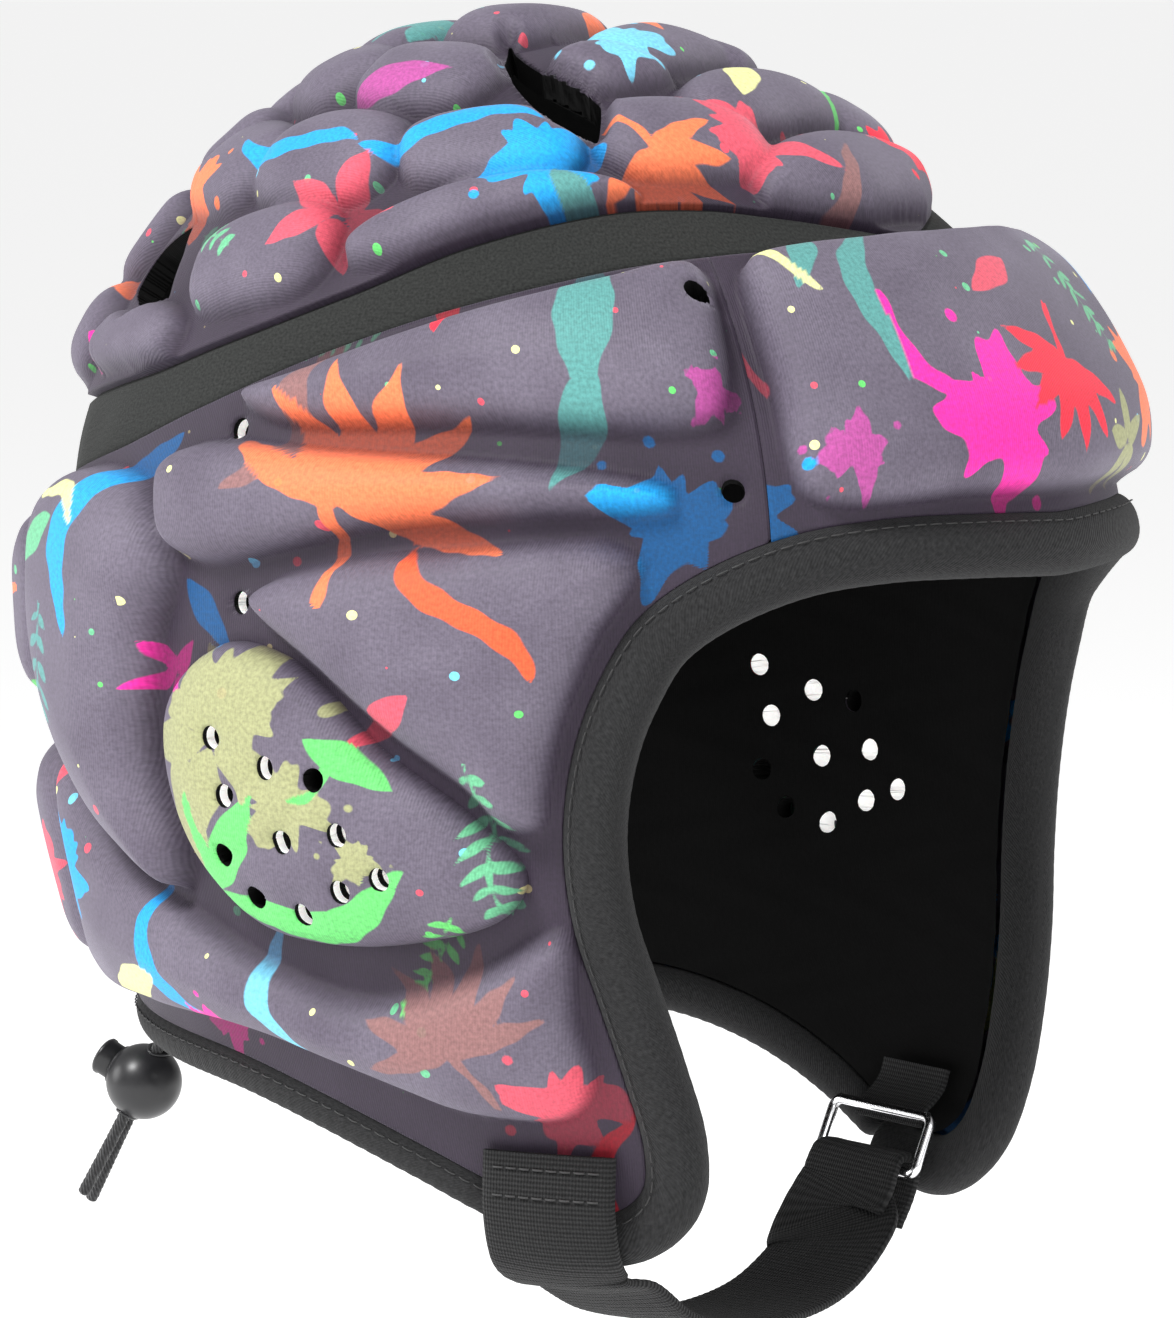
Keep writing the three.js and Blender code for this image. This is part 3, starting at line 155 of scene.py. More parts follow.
def tinted(tree, shader, value, low, high, ends=(0, 1)):
    """Colours a finish from low to high as a value goes from end to end."""
    tint = node_in(tree, "ShaderNodeValToRGB", {"Fac": value})
    for stop, colour, end in zip(tint.color_ramp.elements, (low, high), ends):
        stop.position, stop.color = end, (*colour, 1)
    tree.links.new(tint.outputs[0], shader.inputs["Base Color"])


def grain_bump(tree, shader, heights, strength, far):
    """Adds the heights together and bends the light with them."""
    total = heights[0]
    for more in heights[1:]:
        total = math_in(tree, "ADD", total, more)
    bump = node_in(tree, "ShaderNodeBump", {"Height": total, "Strength": strength, "Distance": far})
    tree.links.new(bump.outputs[0], shader.inputs["Normal"])


def mesh_piece(name, points, faces, finishes, cloth, shade=None, marks=None):
    """A smooth mesh object from arrays. cloth is a flat place in metres for each point, shade
    the finish of each face, and marks are named values or colours of the points."""
    points = np.asarray(points, float)
    mesh = bpy.data.meshes.new(name)
    mesh.from_pydata(points.tolist(), [], [tuple(int(i) for i in f) for f in faces])
    ids = np.empty(len(mesh.loops), int)
    mesh.loops.foreach_get("vertex_index", ids)
    layer = mesh.uv_layers.new(name="cloth")
    layer.data.foreach_set("uv", np.asarray(cloth, float)[ids].ravel())
    for key, values in (marks or {}).items():
        values = np.asarray(values, float)
        if values.ndim == 1:
            mesh.attributes.new(key, "FLOAT", "POINT").data.foreach_set("value", values)
        else:
            full = np.ones((len(values), 4))
            full[:, :3] = values
            mesh.attributes.new(key, "FLOAT_COLOR", "POINT").data.foreach_set("color", full.ravel())
    mesh.polygons.foreach_set("use_smooth", [True] * len(mesh.polygons))
    for finish in finishes if isinstance(finishes, list) else [finishes]:
        mesh.materials.append(finish)
    if shade is not None:
        mesh.polygons.foreach_set("material_index", [int(i) for i in shade])
    mesh.update()
    made = bpy.data.objects.new(name, mesh)
    bpy.context.scene.collection.objects.link(made)
    return made


def steps_along(points):
    """How far along a line each of its points is."""
    points = np.asarray(points, float)
    return np.concatenate([[0], np.cumsum(np.linalg.norm(np.diff(points, axis=0), axis=1))])


def strip_faces(rows, columns, closed_rows=False, closed_columns=False):
    """The four-sided faces of a grid of points."""
    r = np.arange(rows if closed_rows else rows - 1)[:, None]
    c = np.arange(columns if closed_columns else columns - 1)[None, :]
    r2, c2 = (r + 1) % rows, (c + 1) % columns
    return np.stack(
        [r * columns + c, r * columns + c2, r2 * columns + c2, r2 * columns + c], axis=-1
    ).reshape(-1, 4)


def tube(middle, one, other, radius, sides):
    """Rings of points round a line, from two directions across it at each point."""
    t = np.linspace(0, 2 * np.pi, sides, endpoint=False)[None, :, None]
    return middle[:, None] + radius * (np.cos(t) * one[:, None] + np.sin(t) * other[:, None])


def turned_piece(name, outline, finish, sides=64):
    """Turns an outline of height, radius about the button's line."""
    outline = np.array(outline)
    t = np.linspace(0, 2 * np.pi, sides, endpoint=False)
    ring = np.cos(t)[:, None] * LOCK_SIDE + np.sin(t)[:, None] * LOCK_DOWN
    points = LOCK_AT + outline[:, None, :1] * BUTTON_OUT + outline[:, None, 1:] * ring[None]
    faces = strip_faces(len(outline), sides, closed_columns=True)
    far = steps_along(outline)
    cloth = np.stack(np.broadcast_arrays(far[:, None], t[None] * LOCK_RADIUS), axis=-1)
    return mesh_piece(name, points.reshape(-1, 3), faces, finish, cloth.reshape(-1, 2))


moulded, tree, shader = new_finish("lock_plastic", Base_Color=(0.012, 0.012, 0.013, 1), Roughness=0.32)
place = node_in(tree, "ShaderNodeTexCoord").outputs["Object"]
rub = noise_in(tree, place, 4.0, 260.0)
tree.links.new(ranged(tree, rub, 0.24, 0.46), shader.inputs["Roughness"])
tinted(tree, shader, rub, (0.009, 0.009, 0.01), (0.02, 0.02, 0.022))
grain_bump(tree, shader, [noise_in(tree, place, 3.0, 2600.0)], 0.12, 0.00005)

mouth = math.asin(BORE_RADIUS / LOCK_RADIUS)
rim = LOCK_RADIUS * math.cos(mouth)
ball = [
    (-LOCK_RADIUS * math.cos(t), max(LOCK_RADIUS * math.sin(t), ON_AXIS))
    for t in np.linspace(0, math.pi - mouth, 48)
]
# The rounded lip of the bore, its wall and its floor
ball += [
    (rim + 0.0002, BORE_RADIUS + 0.0001), (rim + 0.0001, BORE_RADIUS - 0.00005),
    (rim - 0.0007, BORE_RADIUS - 0.0001), (BORE_FLOOR, BORE_RADIUS - 0.0001), (BORE_FLOOR, ON_AXIS),
]
lock = turned_piece("ball_lock", ball, moulded)
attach(lock, "cap")
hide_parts("cord_lock_body")
# Each row: how far below the button's top, and how far inside its side
stem = [(STEM_FOOT, ON_AXIS), (STEM_FOOT, BUTTON_RADIUS - 0.0002)]
stem += [(BUTTON_TOP - below, BUTTON_RADIUS - inset) for below, inset in (
    (0.0011, 0.0002), (0.0009, 0), (0.0004, 0), (0.0001, 0.0003), (0, 0.0008), (0.0002, 0.0014),
    (0.00035, 0.0025), (0.0004, BUTTON_RADIUS - ON_AXIS),
)]
button = turned_piece("lock_button", stem, moulded)
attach(button, "button")
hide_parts("cord_lock_button")

# Cord mouths
# Oval lips moulded on the ball where the two cord ends go in and come out.
LIP_WIDE, LIP_DEEP, LIP_THICK = 0.0031, 0.0018, 0.00042
for side, name in ((-1, "upper"), (1, "lower")):
    t = np.linspace(0, 2 * np.pi, 56, endpoint=False)
    across, out = np.cos(t)[:, None], np.sin(t)[:, None]
    lift = np.sqrt(LOCK_RADIUS**2 - (across * LIP_WIDE) ** 2 - (out * LIP_DEEP) ** 2)
    spoke = across * LIP_WIDE * LOCK_SIDE + out * LIP_DEEP * BUTTON_OUT + side * lift * LOCK_DOWN
    away = spoke / np.linalg.norm(spoke, axis=1)[:, None]
    points = tube(LOCK_AT + spoke, across * LOCK_SIDE + out * BUTTON_OUT, away, LIP_THICK, 10)
    lip = mesh_piece(
        name + "_cord_mouth", points.reshape(-1, 3), strip_faces(56, 10, True, True), moulded,
        np.zeros((560, 2)),
    )
    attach(lip, "cap")

# Cord ends
# Two ends of one round braided draw cord, about 2.4 mm thick, leave the neck hem
# side by side, run through the ball lock and hang free, each end heat sealed.
CORD_THICK, CORD_SIDES = 0.0024, 16
SWELL_STEP, STRAND_STEP, STRAND_RISE = 0.0011, 0.0045, 0.00005
CORD_A = [
    (-0.0081, 0.07404, -0.17389), (-0.00874, 0.07578, -0.17633), (-0.00939, 0.0775, -0.1788),
    (-0.01008, 0.07896, -0.1814), (-0.01085, 0.08009, -0.18416), (-0.01151, 0.08126, -0.18691),
    (-0.01202, 0.08257, -0.18964), (-0.01247, 0.08392, -0.19237), (-0.0129, 0.08529, -0.19508),
    (-0.01332, 0.08666, -0.1978), (-0.01377, 0.08802, -0.20052), (-0.01428, 0.08936, -0.20323),
    (-0.0149, 0.09067, -0.20594), (-0.01558, 0.09196, -0.20864), (-0.01628, 0.09324, -0.21135),
    (-0.01699, 0.09452, -0.21405), (-0.01771, 0.0958, -0.21674),
]
CORD_B = [
    (-0.0053, 0.07478, -0.17399), (-0.006, 0.07659, -0.17653), (-0.00672, 0.07835, -0.1791),
    (-0.00749, 0.07982, -0.18183), (-0.00833, 0.08096, -0.1847), (-0.00902, 0.0822, -0.18756),
    (-0.00957, 0.08357, -0.1904), (-0.01007, 0.08497, -0.19323), (-0.01054, 0.08639, -0.19605),
    (-0.01099, 0.08781, -0.19888), (-0.0114, 0.08925, -0.20171), (-0.01177, 0.09068, -0.20454),
    (-0.01204, 0.09214, -0.20737), (-0.0123, 0.0936, -0.21021), (-0.01257, 0.09506, -0.21304),
    (-0.01283, 0.09652, -0.21587), (-0.01308, 0.09798, -0.2187),
]


def hermite(t, start, end, leave, arrive):
    """A smooth way from start to end, with the slopes it leaves and arrives at."""
    return (
        (2 * t**3 - 3 * t**2 + 1) * start + (t**3 - 2 * t**2 + t) * leave
        + (3 * t**2 - 2 * t**3) * end + (t**3 - t**2) * arrive
    )


def finer(points, count):
    """The same line with more points, rounded at the old ones."""
    points = np.asarray(points, float)
    far = steps_along(points)
    at = np.linspace(0, far[-1], count)
    slope = np.gradient(points, far, axis=0)
    i = np.clip(np.searchsorted(far, at, side="right") - 1, 0, len(far) - 2)
    span = (far[i + 1] - far[i])[:, None]
    t = ((at - far[i])[:, None]) / span
    return hermite(t, points[i], points[i + 1], span * slope[i], span * slope[i + 1])


def way_along(points):
    """The direction of a line at each of its points."""
    way = np.gradient(points, axis=0)
    return way / np.linalg.norm(way, axis=1)[:, None]


def flow_coordinates(tree, along, across):
    """Metres along and across the piece, from its cloth map, times the given counts."""
    flat = node_in(tree, "ShaderNodeUVMap", uv_map="cloth")
    return node_in(
        tree, "ShaderNodeMapping", {"Vector": flat.outputs[0], "Scale": (along, across, 1)}
    ).outputs[0]


def wave_in(tree, along, across, way, **sockets):
    """Even ribs on the cloth map: across its X or Y, or slanting."""
    flow = flow_coordinates(tree, along, across)
    return node_in(
        tree, "ShaderNodeTexWave", {"Vector": flow, "Scale": 1.0, **sockets}, bands_direction=way
    ).outputs["Fac"]


braid, tree, shader = new_finish(
    "braided_cord", Base_Color=(0.012, 0.012, 0.013, 1), Roughness=0.8, Sheen_Weight=0.25
)
strands = wave_in(tree, 620, 1.0, "DIAGONAL")
tinted(tree, shader, strands, (0.006, 0.006, 0.0065), (0.035, 0.035, 0.037))
grain_bump(tree, shader, [strands], 0.6, 0.0003)

for letter, route in (("a", CORD_A), ("b", CORD_B)):
    line = finer(route, 170)
    far = steps_along(line)
    way = way_along(line)
    side = [np.array([1.0, 0, 0])]
    for step in way:
        last = side[-1] - step * np.dot(side[-1], step)
        side.append(last / np.linalg.norm(last))
    side = np.array(side[1:])
    # The braid's strands swell and draw in along the cord, and its end is sealed round
    swell = CORD_THICK / 2 * (0.955 + 0.045 * np.sin(far / SWELL_STEP * 2 * np.pi))
    swell[-3:] *= (0.98, 0.9, 0.6)
    points = tube(line, side, np.cross(way, side), swell[:, None, None], CORD_SIDES)
    # Raised crossing strands
    share = np.arange(CORD_SIDES) / CORD_SIDES
    lift = sum(
        np.sin(2 * np.pi * (3 * share[None] + hand * far[:, None] / STRAND_STEP)) for hand in (1, -1)
    ) * STRAND_RISE
    points += (points - line[:, None]) / (CORD_THICK / 2) * lift[..., None]
    points = np.vstack([points.reshape(-1, 3), line[:1], line[-1:]])
    faces = strip_faces(len(line), CORD_SIDES, closed_columns=True).tolist()
    first_end, last_end = len(points) - 2, len(points) - 1
    base = (len(line) - 1) * CORD_SIDES
    for c in range(CORD_SIDES):
        faces.append((first_end, (c + 1) % CORD_SIDES, c))
    for c in range(CORD_SIDES):
        faces.append((last_end, base + c, base + (c + 1) % CORD_SIDES))
    cloth = np.stack(np.broadcast_arrays(far[:, None], share[None] * 6), axis=-1).reshape(-1, 2)
    cloth = np.vstack([cloth, cloth[:1], cloth[-1:]])
    strand = mesh_piece("cord_end_" + letter, points, faces, braid, cloth)
    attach(strand, "cap")
    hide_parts("cord_strand_" + letter)

# Lining
# Thin black knit that covers the whole inside, with the same air holes and vents as
# the padded cloth. Its seams lie under those of the panels.
HALF_WIDTH, FRONT, BEHIND, DOME, LEAN, SLOPE, LOWER = 77.0, 107.0, 108.0, 94.0, 14.0, 4.0, 140.0
INSIDE, LINING_IN = 5.1, -4.9
LOWER_ROWS = np.array([
    (0.0, 1.0, 1.0, 1.0), (0.15, 1.01, 1.0, 0.985), (0.3, 1.0, 0.985, 0.95), (0.45, 0.965, 0.955, 0.9),
    (0.6, 0.9, 0.915, 0.845), (0.75, 0.805, 0.865, 0.785), (0.9, 0.69, 0.8, 0.74), (1.0, 0.61, 0.75, 0.715),
])


def eased(rows, column, at):
    """A smooth value between the rows of a table, level at the first row."""
    key, value = rows[:, 0], rows[:, column]
    slope = np.zeros(len(key))
    last = np.minimum(np.arange(1, len(key)) + 1, len(key) - 1)
    first = np.arange(len(key) - 1)
    slope[1:] = (value[last] - value[first]) / (key[last] - key[first])
    at = np.asarray(at, float)
    i = np.clip(np.searchsorted(key, at, side="left") - 1, 0, len(key) - 2)
    span = key[i + 1] - key[i]
    return hermite((at - key[i]) / span, value[i], value[i + 1], span * slope[i], span * slope[i + 1])


def shell(around, level):
    """The floor of the grooves, in millimetres. around is in degrees from the front,
    positive to the wearer's right; level is 0 at the crown and 1 at the widest line."""
    around, level = np.broadcast_arrays(np.asarray(around, float), np.asarray(level, float))
    a = np.radians(around)
    turn = np.minimum(level, 1) * np.pi / 2
    s, c = np.sin(turn), np.cos(turn)
    drop = np.maximum(level - 1, 0)
    low = level >= 1
    wide = np.where(low, eased(LOWER_ROWS, 1, drop), s)
    ahead = np.where(low, eased(LOWER_ROWS, 2, drop), s)
    behind = np.where(low, eased(LOWER_ROWS, 3, drop), s)
    reach = np.where(np.cos(a) > 0, FRONT * ahead, BEHIND * behind)
    x = -HALF_WIDTH * wide * np.sin(a)
    y = -LEAN * s - reach * np.cos(a)
    z = DOME * (c - 1) - SLOPE * np.sin(np.pi * np.minimum(level, 1)) ** 2 - drop * LOWER + INSIDE
    return np.stack([x, y, z], axis=-1)


def outward(around, level):
    """The way out of the cap, square to the floor of the grooves."""
    around, level = np.broadcast_arrays(np.asarray(around, float), np.asarray(level, float))
    safe = np.maximum(level, 0.012)
    along = shell(around + 0.1, safe) - shell(around - 0.1, safe)
    down = shell(around, safe + 0.002) - shell(around, safe - 0.002)
    n = -np.cross(down, along)
    n /= np.linalg.norm(n, axis=-1, keepdims=True)
    return n


def skin(around, level, height):
    return shell(around, level) + outward(around, level) * np.asarray(height, float)[..., None]


def scale_at(around, level):
    """Millimetres for a degree and for a unit of level."""
    level = max(level, 0.05)
    wide = np.linalg.norm(shell(around + 0.5, level) - shell(around - 0.5, level))
    deep = np.linalg.norm(shell(around, level + 0.005) - shell(around, level - 0.005)) / 0.01
    return float(wide), float(deep)


# Rough millimetres for a degree and a unit of level: for even steps, and on the flat plan.
# The last two are for a unit of level beside a seam, and on the crown's plan.
EVEN_SCALE = np.array([1.25, 140.0])
MAP_SCALE = np.array([1.5, 140.0])
SEAM_SCALE, CROWN_SCALE = 112.0, 152.0


def rounded(rows, steps, closed=False):
    """A dense smooth line through chosen points, which doesn't swing out between them."""
    n = len(rows)
    if closed:
        four = [[rows[(i + k) % n] for k in (-1, 0, 1, 2)] for i in range(n)]
    else:
        ends = np.vstack([2 * rows[0] - rows[1], rows, 2 * rows[-1] - rows[-2]])
        four = [ends[i:i + 4] for i in range(n - 1)]
    dense = []
    for p0, p1, p2, p3 in four:
        d0, d1, d2 = (
            max(np.linalg.norm(q - p), 1e-6) ** 0.5 for p, q in ((p0, p1), (p1, p2), (p2, p3))
        )
        leave = ((p1 - p0) / d0 - (p2 - p0) / (d0 + d1) + (p2 - p1) / d1) * d1
        arrive = ((p2 - p1) / d1 - (p3 - p1) / (d1 + d2) + (p3 - p2) / d2) * d1
        dense.append(hermite(np.linspace(0, 1, steps, endpoint=False)[:, None], p1, p2, leave, arrive))
    return np.vstack(dense if closed else [*dense, rows[-1:]])


def rounded_line(rows, closed=True):
    """The same through points of around, level."""
    return rounded(np.array(rows, float) * EVEN_SCALE, 24, closed) / EVEN_SCALE


def by_length(line, shares):
    """Points of a line at shares of its length."""
    far = steps_along(line * EVEN_SCALE)
    at = np.asarray(shares) * far[-1]
    return np.stack([np.interp(at, far, line[:, k]) for k in (0, 1)], axis=-1)


RIM = rounded_line([
    (0, 0.905), (14, 0.9), (27, 0.902), (38, 0.92), (48, 0.965), (54.5, 1.02), (58.5, 1.1), (61, 1.19),
    (62, 1.3), (61, 1.41), (58.5, 1.51), (56, 1.61), (54.3, 1.7), (55, 1.755), (59, 1.785), (66, 1.78),
    (73, 1.755), (82, 1.71), (93, 1.662), (108, 1.62), (130, 1.602), (155, 1.59), (180, 1.58),
], False)
FRONT_SEAM, REAR_SEAM = 40.5, 142.0
SHARE_FRONT, SHARE_TIP, SHARE_REAR = 0.15, 0.5425, 0.86125
BAND = np.array([
    (0, 0.515, 0.53), (11, 0.497, 0.528), (24, 0.474, 0.531), (38, 0.458, 0.539), (55, 0.468, 0.565),
    (75, 0.525, 0.625), (91, 0.607, 0.695), (108, 0.688, 0.785), (124, 0.752, 0.858), (150, 0.805, 0.92),
    (180, 0.822, 0.94),
])


def band_edge(column, around):
    """The level of the stretch band's edge: column 1 is its upper and 2 its lower one."""
    a = np.abs((np.asarray(around, float) + 180) % 360 - 180)
    return eased(BAND, column, a)


def four_sided(left, right, top, low, columns, rows):
    """A patch between four lines, as a grid of around, level."""
    u, v = np.linspace(0, 1, columns)[None, :, None], np.linspace(0, 1, rows)[:, None, None]
    l, r = left(v[:, 0, 0])[:, None], right(v[:, 0, 0])[:, None]
    t, b = top(u[0, :, 0])[None], low(u[0, :, 0])[None]
    corners = (
        (1 - u) * (1 - v) * t[:, :1] + u * (1 - v) * t[:, -1:]
        + (1 - u) * v * b[:, :1] + u * v * b[:, -1:]
    )
    return (1 - u) * l + u * r + (1 - v) * t + v * b - corners


def side_grid(gap, columns, rows):
    """The side panel, from the front seam round the face opening and the flap to the rear one."""
    start, end, upper = FRONT_SEAM + gap, REAR_SEAM - gap, 0.3
    corner, last = by_length(RIM, [SHARE_FRONT, SHARE_REAR])

    def top(u):
        a = start + (end - start) * u
        return np.stack([a, band_edge(2, a) + gap / SEAM_SCALE], -1)

    def left(v):
        down = np.clip((v - upper) / (1 - upper), 0, 1)
        line = by_length(RIM, SHARE_FRONT + (SHARE_TIP - SHARE_FRONT) * down)
        line[:, 0] = np.maximum(line[:, 0], start)
        first = top(np.zeros(1))[0, 1]
        up = v < upper
        line[up] = np.stack([np.full(up.sum(), start), first + (corner[1] - first) * v[up] / upper], -1)
        return line

    def right_side(v):
        high = top(np.ones(1))[0, 1]
        return np.stack([np.full(len(v), end), high + (last[1] - high) * v], -1)

    def low(u):
        line = by_length(RIM, SHARE_TIP + (SHARE_REAR - SHARE_TIP) * u)
        line[:, 0] = np.minimum(line[:, 0], end)
        return line

    return four_sided(left, right_side, top, low, columns, rows)


def hanging_grid(a, gap, low, rows):
    """A panel from the band's lower edge straight down to the levels in low."""
    top = band_edge(2, a) + gap / SEAM_SCALE
    t = np.linspace(0, 1, rows)[:, None]
    return np.stack(np.broadcast_arrays(a[None], top + (low - top) * t), axis=-1)


def front_grid(gap, columns, rows):
    a = np.linspace(-FRONT_SEAM + gap, FRONT_SEAM - gap, columns)
    return hanging_grid(a, gap, by_length(RIM, SHARE_FRONT * np.abs(a) / FRONT_SEAM)[:, 1], rows)


def back_grid(gap, columns, rows):
    a = np.linspace(REAR_SEAM + gap, 360 - REAR_SEAM - gap, columns)
    rear = RIM[-200:]
    low = np.interp(180 - np.abs(180 - a), rear[:, 0], rear[:, 1])
    return hanging_grid(a, gap, low, rows)


def disc_grid(edge, count):
    """A square grid drawn out to a round patch, so that no cell is a sliver."""
    x, y = np.meshgrid(np.linspace(-1, 1, count), np.linspace(-1, 1, count))
    sideways = np.abs(x) > np.abs(y)
    slope = np.where(sideways, y / np.where(x == 0, 1, x), x / np.where(y == 0, 1, y)) * np.pi / 4
    angle = np.where(
        sideways, np.where(x > 0, slope, slope + np.pi),
        np.where(y > 0, np.pi / 2 - slope, 1.5 * np.pi - slope),
    )
    angle = np.degrees(angle) + 90
    return np.stack([angle, np.maximum(np.abs(x), np.abs(y)) * edge(angle)], axis=-1)


def crown_grid(gap, count):
    return disc_grid(lambda a: band_edge(1, a) - gap / SEAM_SCALE, count)


EAR_HOLES = [
    (99, 1.195), (92, 1.225), (97.5, 1.265), (86.5, 1.235), (90.5, 1.315), (98.5, 1.34), (84, 1.3),
    (79.5, 1.35), (84, 1.37), (95, 1.39), (89, 1.405),
]
SIDE_HOLES = [(99.5, 1.03), (101.5, 0.81), (44.5, 0.62), (44.2, 0.865)]
HOLE_RADIUS, HOLE_POINTS = 2.1, 40
FRONT_VENT = [(78, 0.1), (47, 0.27), (52, 0.36), (58, 0.335), (63.5, 0.29), (69, 0.24), (75, 0.18)]
REAR_VENT = [(136, 0.525), (150, 0.585), (143, 0.64), (130, 0.67), (125, 0.64), (130, 0.57)]


def hole_line(around, level):
    """The edge of a round air hole."""
    wide, deep = scale_at(around, level)
    t = np.linspace(0, 2 * np.pi, HOLE_POINTS, endpoint=False)
    x, y = np.cos(t) * HOLE_RADIUS / wide, np.sin(t) * HOLE_RADIUS / deep
    return np.stack([around + x, level + y], axis=-1)


def straight_line(rows):
    """A straight-sided outline with slightly rounded corners."""
    rows = np.array(rows, float)
    share = np.linspace(0, 1, 30, endpoint=False)[:, None]
    dense = np.vstack([p + (q - p) * share for p, q in zip(rows, np.roll(rows, -1, 0))])
    for _ in range(8):
        dense = (np.roll(dense, 1, 0) + dense + np.roll(dense, -1, 0)) / 3
    return dense


def flat_map(chart, polar):
    """Millimetres on a flat plan: straight down the sides, or round the crown."""
    if polar:
        t = np.radians(chart[..., 0])
        return np.stack([np.sin(t), np.cos(t)], axis=-1) * chart[..., 1:] * CROWN_SCALE
    return chart * MAP_SCALE


def chart_of(flat, polar):
    """The way back from the flat plan."""
    if polar:
        x, y = flat[..., 0], flat[..., 1]
        return np.stack([np.degrees(np.arctan2(x, y)), np.hypot(x, y) / CROWN_SCALE], axis=-1)
    return flat / MAP_SCALE


def inside(points, line):
    """Which points lie inside a closed line."""
    hit = np.zeros(len(points), bool)
    x, y = points[:, 0], points[:, 1]
    for (x0, y0), (x1, y1) in zip(line, np.roll(line, -1, 0)):
        if y0 != y1:
            cross = (y0 > y) != (y1 > y)
            hit ^= cross & (x < (x1 - x0) * (y - y0) / (y1 - y0) + x0)
    return hit


def open_holes(grid, holes, polar):
    """Takes the holes out of a grid: its moved points, faces left and the holes' edges."""
    flat = flat_map(grid, polar).reshape(-1, 2)
    faces = strip_faces(*grid.shape[:2])
    kept = np.ones(len(faces), bool)
    hole_points = []
    for hole in holes:
        line = flat_map(hole, polar)
        near = np.where(np.all((flat > line.min(0) - 3) & (flat < line.max(0) + 3), axis=1))[0]
        gone = near[inside(flat[near], line)]
        if not len(gone):
            continue
        out = np.isin(faces, gone).any(axis=1) & kept
        kept &= ~out
        edge = np.setdiff1d(np.unique(faces[out]), gone)
        distance = np.linalg.norm(flat[edge][:, None] - line[None], axis=-1)
        flat[edge] = line[distance.argmin(axis=1)]
        hole_points.append(edge)
    faces = faces[kept]
    ways = np.concatenate([faces[:, [i, (i + 1) % 4]] for i in range(4)])
    _, first, counts = np.unique(np.sort(ways, axis=1), axis=0, return_index=True, return_counts=True)
    single = ways[first[counts == 1]]
    rims = [single[np.isin(single, hole).all(axis=1)] for hole in hole_points]
    return chart_of(flat, polar), faces, [r for r in rims if len(r)]


def wall_down(points, faces, edge, below, drops):
    """Rings of wall from an open edge, down along the given directions."""
    ids = np.unique(edge)
    place = {int(i): k for k, i in enumerate(ids)}
    new, last, shades = [], ids, []
    top = len(points)
    for k, drop in enumerate(drops):
        new.append(points[ids] - below[ids] * drop)
        now = top + k * len(ids) + np.arange(len(ids))
        for i, j in edge:
            a, b = place[int(i)], place[int(j)]
            faces.append((int(last[b]), int(last[a]), int(now[a]), int(now[b])))
            shades.append(k)
        last = now
    return np.vstack([points] + new), shades, ids


lining_knit, tree, shader = new_finish(
    "lining_knit", Base_Color=(0.004, 0.004, 0.004, 1), Roughness=0.97, Specular_IOR_Level=0.12
)
fuzz = noise_in(tree, flow_coordinates(tree, 1500, 1500), 3.0)
tinted(tree, shader, fuzz, (0.0025, 0.0025, 0.0025), (0.0065, 0.0065, 0.0065))
grain_bump(tree, shader, [wave_in(tree, 900, 900, "X", Distortion=1.5), fuzz], 0.25, 0.0002)
mirror = lambda grid: grid[:, ::-1] * (-1, 1)
SMALL = [hole_line(*h) for h in EAR_HOLES + SIDE_HOLES]
VENTS = [
    line * (side, 1) for line in (straight_line(FRONT_VENT), straight_line(REAR_VENT)) for side in (1, -1)
]


def side_rows(gap, step):
    return side_grid(gap, int(150 / step), int(120 / step))


a = np.linspace(-180, 180, 200)
band_levels = band_edge(1, a) + (band_edge(2, a) - band_edge(1, a)) * np.linspace(0, 1, 14)[:, None]
points, faces, cloth = [], [], []
for grid, holes, polar in (
    (crown_grid(0, 120), VENTS, True),
    (side_rows(0, 0.9), SMALL, False),
    (mirror(side_rows(0, 0.9)), [h * (-1, 1) for h in SMALL], False),
    (front_grid(0, 60, 36), [], False),
    (back_grid(0, 60, 60), [], False),
    (np.stack(np.broadcast_arrays(a[None], band_levels), -1), [], False),
):
    chart, left_faces, _ = open_holes(grid, holes, polar)
    # Slight fullness of the knit over the foam
    around, level = chart[:, 0], chart[:, 1]
    soft = 0.18 * np.sin(np.radians(around) * 23 + 3 * np.sin(level * 31)) * np.sin(level * 47)
    faces.append(left_faces + sum(len(p) for p in points))
    points.append(skin(around, level, LINING_IN + soft) / 1000)
    cloth.append(flat_map(chart, polar) / 1000)
lining = mesh_piece("lining_cloth", np.vstack(points), np.vstack(faces), lining_knit, np.vstack(cloth))
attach(lining, "cap")
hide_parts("lining")

# Side panels
# Printed knit bonded over moulded foam, one panel on each side from the forehead to
# the nape, with five raised pads. The grooves between them are pressed flat.
PRINT_GROUND = (0.088, 0.072, 0.108)
PRINT_DYES = {
    "orange": (0.98, 0.21, 0.075), "deep_orange": (0.83, 0.11, 0.03), "sky": (0.0, 0.36, 0.83),
    "pale_sky": (0.18, 0.6, 0.82), "teal": (0.095, 0.32, 0.3), "coral": (0.72, 0.085, 0.13),
    "red": (0.93, 0.02, 0.05), "magenta": (0.93, 0.02, 0.38), "plum": (0.45, 0.07, 0.3),
    "khaki": (0.36, 0.37, 0.18), "green": (0.13, 0.64, 0.15), "mint": (0.14, 0.5, 0.26),
    "straw": (0.82, 0.82, 0.35), "rose_brown": (0.27, 0.13, 0.125),
}


def swung(x, y, t):
    """The same places, measured from axes swung by an angle."""
    return np.cos(t) * x + np.sin(t) * y, np.cos(t) * y - np.sin(t) * x


def blade(x, y, long, wide):
    """A pointed leaf along x; negative inside, as every motif is."""
    t = np.clip((x + long) / (2 * long), 0, 1)
    half = wide * np.sin(np.pi * t**0.8)
    return np.where(np.abs(x) > long, np.hypot(np.abs(x) - long, y), np.abs(y) - half)


def leaf_at(x, y, t, start, long, wide):
    """A leaf that points away from the middle at an angle."""
    u, v = swung(x, y, t)
    return blade(u - start, v, long, wide)


